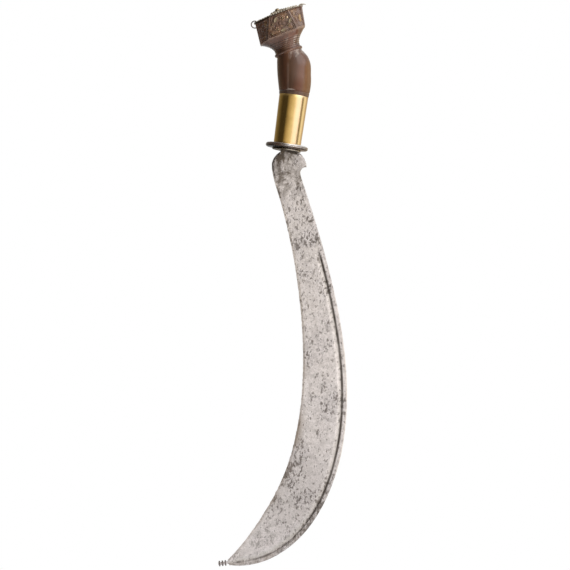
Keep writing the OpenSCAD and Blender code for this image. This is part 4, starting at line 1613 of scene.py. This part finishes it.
    def lay_grid(self, piece: Piece) -> None:
        """Cuts the head's sides and the neck finely enough to carve them."""
        shape = self.shape
        half = shape.top_w / 2 + 0.002
        middle = (shape.head_low + shape.head_top) / 2
        across = shape.face_right
        row_normal = Vector((-across.z, 0, across.x))
        column_normal = Vector((shape.side_up.z, 0, -shape.side_up.x))
        self.pick_sides(piece)
        rows = int(shape.head_h / self.grid)
        self.cut([shape.head_low + i * self.grid * shape.side_up for i in range(1, rows + 6)], row_normal)
        columns = int(half / self.grid)
        self.cut([middle + i * self.grid * across for i in range(-columns, columns + 1)], column_normal)
        self.shown()
        pick(piece, "FACE", lambda face: shape.face_place(face.center)[1] > 0 and abs(face.normal.x) > 0.85)
        bpy.ops.mesh.hide(unselected=True)
        ends = int(shape.end_face_w / 2 / self.grid)
        self.cut([Vector((0, i * self.grid, 0)) for i in range(-ends, ends + 1)], Vector((0, 1, 0)))
        self.shown()
        low, top = self.rings_from - MM, self.rings_to + MM
        pick(piece, "FACE", lambda face: low < self.up_neck(face.center) < top
             and shape.face_place(face.center)[1] < 0)
        bpy.ops.mesh.hide(unselected=True)
        count = int((self.rings_to - self.rings_from) / self.ring_grid)
        rises = [self.rings_from + i * self.ring_grid for i in range(count + 1)]
        self.cut([shape.grip_end + rise * shape.neck_axis for rise in rises], shape.neck_axis)
        self.shown()

    def up_neck(self, co: Vector) -> float:
        """Returns how far up the neck's axis a point lies, from the grip's end."""
        return (co - self.shape.grip_end).dot(self.shape.neck_axis)

    def panel(self, co: Vector) -> Tuple[float, float, float, float]:
        """Finds a point's place on the carved panels.

        Returns:
            Its places across the head and up its side, its distance inside the panel's rim, and
            its place along that rim.
        """
        shape = self.shape
        across, up = shape.face_place(co)
        low, top = shape.face_low_w / 2, shape.face_top_w / 2
        half = low + (top - low) * up / shape.head_h
        outer = shape.low_w / 2
        if abs(across) < half:
            aside = half - abs(across)
        else:
            aside = (outer - half) / 2 - abs(abs(across) - (half + outer) / 2)
        level = min(up, shape.head_h - up)
        return across, up, min(aside, level), across if level < aside else up

    def off_mounts(self, across: float, rise: float) -> float:
        """Measures how far a place of the front face lies outside the flat pads under the mounts.

        Args:
            across: the place across the face, from its middle.
            rise: the place up the face, from there.

        Returns:
            The distance in metres, under 0 within a pad.
        """
        shape = self.shape
        radii = [self.flower_pad] * 2 + [self.stud_pad] * (len(shape.studs) - 2)
        length, width = self.leaf_pad
        gaps = [math.hypot(across - x, rise - y) - radius for (x, y), radius in zip(shape.studs, radii)]
        for x, y, turn in shape.leaves:
            angle = math.radians(turn)
            dx, dy = across - x, rise - y
            along = dx * math.cos(angle) + dy * math.sin(angle)
            aside = dy * math.cos(angle) - dx * math.sin(angle)
            gaps.append((math.hypot(along / length, aside / width) - 1) * width)
        return min(gaps) - self.pad

    def lotus(self, x: float, y: float, inner: float, outer: float) -> float:
        """Shapes a ring of petals.

        Args:
            x: the place across, from the ring's middle.
            y: the place up, from there.
            inner: the ring's inner radius.
            outer: the radius that the petals' tips reach.

        Returns:
            How high the petals stand there, from 0 to 1.
        """
        radius, angle = math.hypot(x, y), math.atan2(y, x)
        lobe = abs(math.cos(angle * self.petals / 2)) ** 0.6
        reach = inner + (outer - inner) * lobe
        if not inner < radius < reach:
            return 0.0
        return step(min(radius - inner, reach - radius) / self.soft) * (0.45 + 0.55 * lobe)

    def scroll(self, across: float, up: float) -> float:
        """Returns the height, from 0 to 1, of the winding leaves that fill the ground."""
        a, b = across / self.scroll_pitch[0] * math.tau, up / self.scroll_pitch[1] * math.tau
        wave = math.sin(a + 1.3 * math.sin(b * 0.8)) * math.sin(b + 1.1 * math.sin(a * 0.7 + 0.6))
        return step((wave - 0.15) / 0.35)

    def height(self, co: Vector) -> Tuple[float, float]:
        """Works out the carving at a point of the head.

        Args:
            co: the point.

        Returns:
            How high the carving stands there, and its share of gilt.
        """
        shape = self.shape
        across, up, inside, along = self.panel(co)
        if inside < self.rim:
            return 1.0, 0.0
        if inside < self.border:
            middle = (self.rim + self.border) / 2 + 0.0001
            bead = math.hypot(((along / self.bead_pitch) % 1.0 - 0.5) * self.bead_pitch, inside - middle)
            return step((self.bead_pitch * 0.52 - bead) / self.soft * 1.4), 0.0
        clear = 1 - step(self.off_mounts(across, up - shape.head_h / 2) / self.soft)
        if abs(across) > shape.face_low_w / 2 - self.medallion_from and clear == 0:
            return self.medallion_height(across, up)
        rise = up - shape.head_h / 2
        blooms = [self.lotus(across - x, rise - y, *self.bloom) for x, y in shape.studs[:2]]
        raised = max(*blooms, self.scroll(across, up) * (0.0 if max(blooms) > 0 else 0.85), clear)
        return raised, 1 - raised

    def medallion_height(self, across: float, up: float) -> Tuple[float, float]:
        """Works out the carving by the medallion of a side panel.

        Args:
            across: the place across the head, from its middle.
            up: the place up its side.

        Returns:
            How high the carving stands there, and its share of gilt.
        """
        rise = up - self.shape.head_h / 2
        wide, tall = self.medallion
        size = math.sqrt(wide * tall)
        x, y = (abs(across) - self.medallion_across) / wide, rise / tall
        rim = step((self.medallion_rim - abs(math.hypot(x, y) - 1) * size) / self.soft + 0.4)
        inner, outer = self.medallion_bloom
        raised = max(rim, self.lotus(x * size, y * size, inner, size * outer))
        if math.hypot(x, y) > 1:
            raised = max(raised, self.scroll(across, up))
        if across > 0:
            leaf_x, leaf_y, half, reach = self.gilt_leaf
            vein = math.hypot((across - leaf_x) / half, (rise - leaf_y) / reach)
            if vein < 1:
                return step((1 - vein) * 4), 1.0 + step((1 - vein) * 5)
            raised *= step((vein - 1) * 3)
        return raised, max(1 - raised, rim)

    def ring(self, height: float) -> float:
        """Returns how deep the turned rings are at a height up the neck, from 0 to 1."""
        if not self.rings_from < height < self.rings_to:
            return 0.0
        nearest = abs((height - self.rings_from) / self.ring_gap % 1.0 - 0.5) * self.ring_gap
        return step(1 - nearest / self.ring_half)

    def glint_between_rings(self, height: float) -> float:
        """Returns how strongly glints are painted on the neck between its rings at a height, from 0 to 1."""
        if not self.rings_from < height < self.rings_to:
            return 0.0
        return 1 - self.ring(height)

    def glint_below_moulding(self, height: float) -> float:
        """Returns how strongly glints are painted on the grip's shoulder under its moulding, from 0 to 1."""
        start, whole = self.glint_rise
        end, faded = self.glint_fall
        return step((height - start) / (whole - start)) * step((end - height) / (end - faded))

    def dust(self, across: float, up: float) -> float:
        """Returns how much dust lies at a place of the head, from 0 to 1, held back on the left facet as
        painted shade.
        """
        # painted shade: the left facet keeps little dust and stays dark
        left = self.dust_in_left_shade + (1 - self.dust_in_left_shade) * step(across / self.left_shade_fade + 3.4)
        return step(0.6 + up / self.dust_fade) * left

    def carve(self, piece: Piece) -> None:
        """Carves the head's panels and the neck's rings, and stores what the finish reads.

        It stores gilt, where old gilding is left; head, where dust lies, held back on the left facet as
        painted shade; a dark mask for dirt at the ferrule and in the rings, which also holds a painted shadow
        under the cap; and a mask of painted glints on the right of the neck and under the moulding.
        """
        shape = self.shape
        marks = {name: [0.0] * len(piece.data.vertices) for name in ("gilt", "head", "dirt_and_shadow", "rub")}
        panels, rings = piece.vertex_groups.new(name="panels"), piece.vertex_groups.new(name="rings")
        out = shape.cap.to_3x3().col[2]
        for vertex in piece.data.vertices:
            i = vertex.index
            across, up = shape.face_place(vertex.co)
            neck = self.up_neck(vertex.co)
            marks["head"][i] = self.dust(across, up)
            # painted glints, on the right side only
            marks["rub"][i] = max(self.glint_between_rings(neck), self.glint_below_moulding(neck)) * step(across / self.dust_fade)
            # painted shadow: a dark band on the head just under the cap
            under_cap = step((up - shape.head_h + self.shadow_h) / self.shadow_soft + 0.5)
            marks["dirt_and_shadow"][i] = max(under_cap, step((shape.ferrule_len + MM - vertex.co.z) / MM))
            if up > self.band_low and abs(vertex.normal.dot(out)) < self.side_slope:
                height, marks["gilt"][i] = self.height(vertex.co)
                if height < 1:
                    panels.add([i], 1 - height, "REPLACE")
            elif up < 0:
                depth = self.ring(neck)
                marks["dirt_and_shadow"][i] = depth * self.ring_soot
                if depth > 0:
                    rings.add([i], depth, "REPLACE")
        for name, values in marks.items():
            piece.data.attributes.new(name, "FLOAT", "POINT").data.foreach_set("value", values)
        modify(piece, "DISPLACE", strength=-self.ground_depth, mid_level=0.0, vertex_group="panels")
        modify(piece, "DISPLACE", strength=-self.ring_depth, mid_level=0.0, vertex_group="rings")

    def moulding(self) -> Piece:
        """Turns the rounded ring between the grip and the neck."""
        shape = self.shape
        centre = (shape.moulding_d / 2 - self.moulding_round, shape.moulding_at)
        rim = arc(centre, self.moulding_round, -84, 84, 14)
        inner = shape.neck_d / 2 - MM
        piece = turned("moulding", [(inner, rim[0][1]), *rim, (inner, rim[-1][1]), (inner, rim[0][1])], 96)
        right = Vector((shape.neck_axis.z, 0, -shape.neck_axis.x))
        return seated(piece, matrix_of(right, Vector((0, 1, 0)), shape.grip_end))

    def build(self) -> None:
        """Builds the carved hilt."""
        piece = copy_of_node("handle", "carved_hilt")
        self.close_nail_holes(piece)
        self.fill_grip(piece)
        self.wear_edges(piece)
        self.lay_grid(piece)
        self.carve(piece)
        piece = joined([piece, self.moulding()], "carved_hilt")
        self.dress(piece, Slot.WOOD, nodes=["handle"], crease=40)


@dataclass
class Fittings(Assembly):
    """The metal cap, its ornaments, and the mounts on the head's faces."""

    shape: HiltShape = field(default_factory=HiltShape)
    rosette_d: float = 0.019
    rosette_h: float = 0.0034
    boss_h: float = 0.003
    button_d: float = 0.0064
    button_h: float = 0.004
    petals: int = 12
    cap_nail_d: float = 0.0034
    stud_d: float = 0.003
    face_rosette_d: float = 0.007
    inlay_t: float = 0.0007
    gallery_h: float = 0.0027
    bright_pin: int = 2
    bead_d: float = 0.0011

    def bead(self, name: str, size: Sequence[float], where: Matrix, rings: int = 6) -> Piece:
        """Adds a rounded bead or petal.

        Args:
            name: its name.
            size: half its measures along X, Y and Z.
            where: the matrix that places it.
            rings: how finely it is rounded.

        Returns:
            The bead in its place.
        """
        bpy.ops.mesh.primitive_uv_sphere_add(segments=rings * 2, ring_count=rings, radius=1.0)
        piece = named(name)
        alone(piece)
        piece.scale = size
        bpy.ops.object.transform_apply(location=False, rotation=False, scale=True)
        return seated(piece, where)

    def ring_of(self, name: str, count: int, radius: float, size: Sequence[float], rise: float,
                tilt: float = 0.0, start: float = 0.0) -> List[Piece]:
        """Adds a ring of petals or beads round the Z axis.

        Args:
            name: their name.
            count: how many there are.
            radius: how far from the axis they sit.
            size: half their measures along X, Y and Z.
            rise: how high they sit.
            tilt: how far they are tipped up, in radians.
            start: the bearing of the first one, in radians.

        Returns:
            The pieces, in order round the ring.
        """
        pieces = []
        for i in range(count):
            turn = Matrix.Rotation(start + i * math.tau / count, 4, "Z")
            seat = turn @ Matrix.Translation((radius, 0, rise)) @ Matrix.Rotation(-tilt, 4, "Y")
            pieces.append(self.bead(name, size, seat, 5))
        return pieces

    def nail(self, name: str, diameter: float, height: float, seat: float) -> Piece:
        """Turns a nail's domed head over a short shank, seated at a height."""
        profile = [(r, z + seat) for r, z in dome(diameter / 2, height, seat + MM)]
        return turned(name, [(0.0, profile[0][1]), *profile[1:-1], (0.0, profile[-1][1])], 24)

    def cap_sheet(self) -> None:
        """Softens the cap plate's edges and adds a row of beads to its gallery."""
        plate = copy_of_node("cap_plate", "cap_sheet")
        soften(plate, 0.14 * MM, 35)
        shape, pieces = self.shape, [plate]
        half, depth = shape.face_top_w / 2, shape.depth / 2
        turn = math.atan2(depth - shape.end_face_w / 2, shape.top_w / 2 - half)
        runs = [((-half * 0.72, -depth), 0.0, half * 1.72), ((half, -depth), turn, 0.0143)]
        for (x, y), angle, length in runs:
            count = round(length / 0.0021)
            for i in range(count):
                s = (i + 0.5) * length / count
                at = Vector((x + s * math.cos(angle), y + s * math.sin(angle), self.gallery_h * 0.55))
                for side in (1, -1):
                    seat = shape.cap @ Matrix.Translation((at.x, side * at.y, at.z))
                    pieces.append(self.bead("gallery_bead", [self.bead_d / 2] * 3, seat))
        self.dress(joined(pieces, "cap_sheet"), Slot.AGED, nodes=["cap_plate"], crease=40)

    def cap_flower(self) -> None:
        """Makes the rosette on the cap: a turned dish, a boss, and a ring of round petals."""
        r, h, dish = self.rosette_d / 2, self.rosette_h, 0.9 * MM
        boss = 0.21 * self.rosette_d
        ease = 0.4 * MM
        profile = [(0.0, 0.0), (r * 0.66, 0.0), (r * 0.86, h - dish), (r * 0.88, h), (r * 0.8, h - 0.1 * MM),
                   (r * 0.6, dish), (r * 0.52, dish), *arc((boss - ease, self.boss_h - ease), ease, 0, 90, 4),
                   (0.0, self.boss_h)]
        pieces = [turned("flower_dish", profile, 60)]
        petal = (1.7 * MM, 1.9 * MM, 0.7 * MM)
        pieces += self.ring_of("petal", self.petals, r * 0.8, petal, h - 0.3 * MM, math.radians(24))
        pieces += self.ring_of("dish_bead", self.petals * 2, boss + 0.7 * MM, [0.6 * MM] * 3, dish + 0.2 * MM)
        flower = joined(pieces, "cap_flower")
        seated(flower, self.shape.cap @ Matrix.Translation((self.shape.rosette_x, 0, self.shape.cap_t)))
        self.dress(flower, Slot.AGED, nodes=["cap_rosette"])

    def cap_knob(self) -> None:
        """Turns the button: a bud on a collar."""
        r, h = self.button_d / 2, self.button_h
        seat = self.shape.cap_t + self.boss_h
        collar = arc((r - 0.4 * MM, 0.5 * MM), 0.4 * MM, -90, 90, 6)
        angles = [math.radians(90 * i / 12) for i in range(12)]
        bud = [(r * 0.93 * math.cos(a) ** 0.8, MM + (h - MM) * math.sin(a)) for a in angles]
        profile = [(0.0, 0.0), (r - 0.6 * MM, 0.0), *collar, (r * 0.84, MM), *bud, (0.0, h)]
        knob = turned("cap_knob", [(x, z + seat) for x, z in profile], 48)
        seated(knob, self.shape.cap @ Matrix.Translation((self.shape.rosette_x, 0, 0)))
        stored(knob, "handled_and_highlight", lambda co: 0.8)
        self.dress(stored(knob, "old", lambda co: 0.6), Slot.POLISHED, nodes=["cap_button"])

    def cap_leaf(self) -> None:
        """Softens the beaded leaf's edges."""
        leaf = copy_of_node("cap_leaf", "cap_leaf_mount")
        soften(leaf, 0.15 * MM, 50)
        self.dress(leaf, Slot.AGED, nodes=["cap_leaf"])

    def pins(self) -> None:
        """Turns the nails on the cap and the studs on the faces."""
        shape = self.shape
        cap_pins = []
        for x, y in shape.cap_nails:
            pin = self.nail("cap_pin", self.cap_nail_d, self.cap_nail_d * 0.4, shape.cap_t)
            cap_pins.append(seated(pin, shape.cap @ Matrix.Translation((x, y, 0))))
        cap_pins = joined(cap_pins, "cap_pins")
        stored(cap_pins, "handled_and_highlight", lambda co: 0.5)
        self.dress(stored(cap_pins, "old", lambda co: 0.55), Slot.POLISHED, nodes=["cap_nails"])
        face_pins = []
        for front in (True, False):
            for i, (across, up) in enumerate(shape.studs):
                size, height = (self.stud_d, 1.3 * MM) if i < 3 else (self.stud_d * 0.75, 0.9 * MM)
                pin = self.nail("face_pin", size, height, self.inlay_t if i < 2 else 0.0)
                stored(pin, "old", lambda co, bright=i == self.bright_pin: 0.0 if bright else 0.92)
                stored(pin, "handled_and_highlight", lambda co: 1.0)
                face_pins.append(seated(pin, shape.on_face(across, up, front)))
        self.dress(joined(face_pins, "face_pins"), Slot.POLISHED, nodes=["face_studs"])

    def face_flowers(self) -> None:
        """Makes the petalled discs on the faces."""
        r, t = self.face_rosette_d / 2, self.inlay_t
        flowers = []
        for front in (True, False):
            for across, up in self.shape.studs[:2]:
                disc = [(0.0, 0.0), (r * 0.72, 0.0), (r * 0.72, t * 0.5), (r * 0.6, t * 0.75),
                        (r * 0.5, t * 0.55), (r * 0.42, t), (0.0, t)]
                pieces = [turned("flower_disc", disc, 32)]
                pieces += self.ring_of("petal", 8, r * 0.68, (r * 0.34, r * 0.25, t * 0.95), t * 0.05)
                flowers.append(seated(joined(pieces, "flower"), self.shape.on_face(across, up, front)))
        self.dress(joined(flowers, "face_flowers"), Slot.COPPER, nodes=["face_rosettes"])

    def face_foliage(self) -> None:
        """Swells the leaves on the faces and presses a vein into each."""
        leaves = copy_of_node("face_leaves", "face_foliage")
        front = -self.shape.depth / 2 - self.inlay_t
        pick(leaves, "FACE", lambda face: abs(face.center.y) > -front - 0.00005)
        bpy.ops.mesh.inset(thickness=0.00035, depth=0.0)
        bpy.ops.mesh.inset(thickness=0.0006, depth=-0.0002)
        done()
        soften(leaves, 0.15 * MM, 40)
        stored(leaves, "handled_and_highlight", lambda co: 0.6)
        self.dress(stored(leaves, "old", lambda co: 0.6), Slot.AGED, nodes=["face_leaves"])

    def build(self) -> None:
        """Builds the cap and the mounts."""
        self.cap_sheet()
        self.cap_flower()
        self.cap_knob()
        self.cap_leaf()
        self.pins()
        self.face_flowers()
        self.face_foliage()


@dataclass
class HangingRing(Assembly):
    """The wire ring through the cap's ear, the one piece that moves."""

    def build(self) -> None:
        """Builds the ring."""
        ring = copy_of_node("lanyard_ring", "hanging_ring")
        lump(ring, "wire_dents", 0.002, 0.1 * MM)
        self.dress(ring, Slot.IRON, nodes=["lanyard_ring"], body=Body.RING)


@dataclass
class Studio:
    """Soft studio light, a pale floor and the photograph's camera."""

    aim: Vector = field(default_factory=lambda: Vector((0.0193, 0.0, -0.1592)))
    distance: float = 2.0
    frame_height: float = 0.6498
    roll: float = math.radians(7.8)
    sensor: float = 36.0
    floor_gap: float = 0.11
    floor_y: float = -0.68
    floor_glow: float = 0.7
    diffuse_level: float = 0.22
    gloss_scale: float = 2.0
    key_power: float = 40.0
    fill_power: float = 1.5
    back_power: float = 16.0

    def camera(self) -> None:
        """Adds the camera: it looks along +Y, rolled as the photograph is."""
        bpy.ops.object.camera_add()
        camera = named("photo_camera")
        right = Vector((math.cos(self.roll), 0, math.sin(self.roll)))
        up = Vector((-math.sin(self.roll), 0, math.cos(self.roll)))
        camera.matrix_world = matrix_of(right, up, self.aim - Vector((0, self.distance, 0)))
        camera.data.sensor_width = self.sensor
        camera.data.lens = self.sensor * self.distance / self.frame_height
        camera.data.clip_end = 50.0
        bpy.context.scene.camera = camera

    def sky(self) -> None:
        """Lights the world: white to look at, plain for matt surfaces, with dark flags for metal."""
        world = bpy.data.worlds.new("studio_world")
        bpy.context.scene.world = world
        world.use_nodes = True
        graph = Graph(world.node_tree)
        direction = graph.node("TexCoord").outputs["Generated"]
        parts = graph.axes(direction)
        azimuth = graph.math("ARCTAN2", parts["X"], graph.times(parts["Y"], -1.0))
        turn = graph.plus(graph.math("DIVIDE", azimuth, math.tau), 0.5)
        level = self.band(graph, turn, [
            (-180, (0.6, 0.6, 0.6)), (-150, (0.35, 0.32, 0.26)), (-125, (0.22, 0.19, 0.12)),
            (-100, (0.12, 0.1, 0.06)), (-84, (0.06, 0.05, 0.03)), (-44, (0.06, 0.05, 0.03)),
            (-30, (0.34, 0.29, 0.18)), (-14, (0.62, 0.55, 0.42)), (5, (0.87, 0.82, 0.72)),
            (22, (1.1, 1.06, 1.0)), (32, (1.45, 1.34, 1.27)), (68, (1.45, 1.34, 1.27)),
            (78, (0.44, 0.38, 0.26)), (89, (0.26, 0.21, 0.12)), (102, (1.12, 1.04, 0.76)),
            (117, (1.02, 0.94, 0.68)), (130, (0.66, 0.54, 0.37)), (179, (0.6, 0.5, 0.37))])
        above = self.band(graph, turn, [
            (-180, (0.7, 0.7, 0.7)), (-100, (0.4, 0.4, 0.4)), (-70, (0.16, 0.14, 0.12)),
            (-20, (0.3, 0.28, 0.25)), (5, (0.9, 0.88, 0.85)), (20, (2.0, 2.0, 2.0)), (75, (2.0, 2.0, 2.0)),
            (110, (0.7, 0.7, 0.7)), (179, (0.7, 0.7, 0.7))])
        below = self.band(graph, turn, [
            (-180, (0.4, 0.4, 0.4)), (-110, (0.15, 0.14, 0.13)), (-80, (0.06, 0.06, 0.06)),
            (0, (0.08, 0.07, 0.06)), (18, (0.9, 0.88, 0.84)), (62, (0.9, 0.88, 0.84)), (80, (0.2, 0.2, 0.2)),
            (179, (0.4, 0.4, 0.4))])
        banded = graph.mix(graph.span(parts["Z"], 0.2, 0.5), level, above)
        banded = graph.mix(graph.span(parts["Z"], -0.2, -0.45), banded, below)
        rays = graph.node("LightPath").outputs
        seen = graph.most(rays["Is Camera Ray"], rays["Is Transmission Ray"])
        colour = graph.mix(rays["Is Glossy Ray"], [self.diffuse_level / self.gloss_scale] * 3, banded)
        colour = graph.mix(seen, colour, [1 / self.gloss_scale] * 3)
        backdrop = world.node_tree.nodes["Background"]
        graph.put(backdrop.inputs["Color"], colour)
        graph.put(backdrop.inputs["Strength"], self.gloss_scale)

    def band(self, graph: Graph, turn: Any, stops: Stops) -> Socket:
        """Makes a band of the sky.

        Args:
            graph: the world's graph.
            turn: the bearing as a share of a full turn, 0.5 behind the camera.
            stops: its colours at bearings in degrees, 0 behind the camera.

        Returns:
            The band's colour.
        """
        ramp = graph.node("ValToRGB", {0: turn})
        elements = ramp.color_ramp.elements
        while len(elements) < len(stops):
            elements.new(0.5)
        for element, (degrees, colour) in zip(elements, stops):
            element.position = degrees / 360 + 0.5
            element.color = (*[level / self.gloss_scale for level in colour], 1.0)
        return ramp.outputs[0]

    def lamp(self, name: str, at: Vector, size: Tuple[float, float], power: float) -> None:
        """Adds a soft lamp that faces the hilt and blade; metal mirrors the world instead.

        Args:
            name: its name.
            at: its place.
            size: its width and height.
            power: its power in watts.
        """
        bpy.ops.object.light_add(type="AREA", location=at)
        lamp = named(name)
        lamp.data.shape = "RECTANGLE"
        lamp.data.size, lamp.data.size_y = size
        lamp.data.energy = power
        lamp.rotation_euler = (self.aim - at).to_track_quat("-Z", "Y").to_euler()
        lamp.visible_glossy = False

    def floor(self) -> None:
        """Adds the floor under the tip: it looks white and keeps a soft shadow."""
        low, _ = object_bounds()
        at = (self.aim.x, self.floor_y, low.z - self.floor_gap)
        bpy.ops.mesh.primitive_circle_add(vertices=96, radius=1.0, fill_type="NGON", location=at)
        floor = named("studio_floor")
        alone(floor)
        bpy.ops.object.transform_apply(location=True)
        material = bpy.data.materials.new("floor_paper")
        material.use_nodes = True
        graph = Graph(material.node_tree)
        shader = material.node_tree.nodes["Principled BSDF"]
        graph.put(shader.inputs["Base Color"], (0.93, 0.93, 0.93))
        graph.put(shader.inputs["Roughness"], 0.9)
        glow = graph.node("Emission", {"Color": (1.0, 1.0, 1.0)})
        seen = graph.times(graph.node("LightPath").outputs["Is Camera Ray"], self.floor_glow)
        both = graph.node("MixShader", {0: seen, 1: shader.outputs[0], 2: glow.outputs[0]})
        graph.put(material.node_tree.nodes["Material Output"].inputs["Surface"], both.outputs[0])
        floor.data.materials.append(material)
        floor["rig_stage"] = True

    def build(self) -> None:
        """Builds the camera, the light and the floor."""
        bpy.context.scene.view_settings.view_transform = "Standard"
        self.camera()
        self.sky()
        self.lamp("key_softbox", Vector((1.65, -0.95, 0.35)), (0.8, 1.4), self.key_power)
        self.lamp("back_softbox", Vector((-1.2, 1.5, 0.3)), (0.9, 1.4), self.back_power)
        self.lamp("fill_softbox", Vector((-1.3, -1.2, 0.1)), (0.9, 1.4), self.fill_power)
        self.floor()


def finishes() -> Dict[Slot, Material]:
    """Builds every finish once."""
    effects = Effects()
    kinds: Dict[Slot, Finish] = {
        Slot.STEEL: ForgedSteel("forged_steel"),
        Slot.IRON: DarkIron("patinated_iron"),
        Slot.POLISHED: Brass("polished_brass"),
        Slot.AGED: Brass("aged_brass", (0.55, 0.5, 0.43), (0.26, 0.22, 0.17), age=0.8, polish=0.3),
        Slot.COPPER: Brass("rubbed_copper", (0.42, 0.27, 0.19), (0.13, 0.08, 0.055), age=0.7, polish=0.34),
        Slot.WOOD: DarkWood("dark_hardwood"),
        Slot.RESIN: Resin("natural_resin"),
    }
    return {slot: kind.build(effects) for slot, kind in kinds.items()}


def main() -> None:
    """Builds the whole visual model."""
    logging.basicConfig(level=logging.INFO, format="%(name)s: %(message)s")
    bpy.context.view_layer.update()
    made = finishes()
    Studio().build()
    for kind in (ForgedBlade, GuardAndFerrule, CarvedHilt, Fittings, HangingRing):
        kind(made).build()


if __name__ == "__main__":
    main()
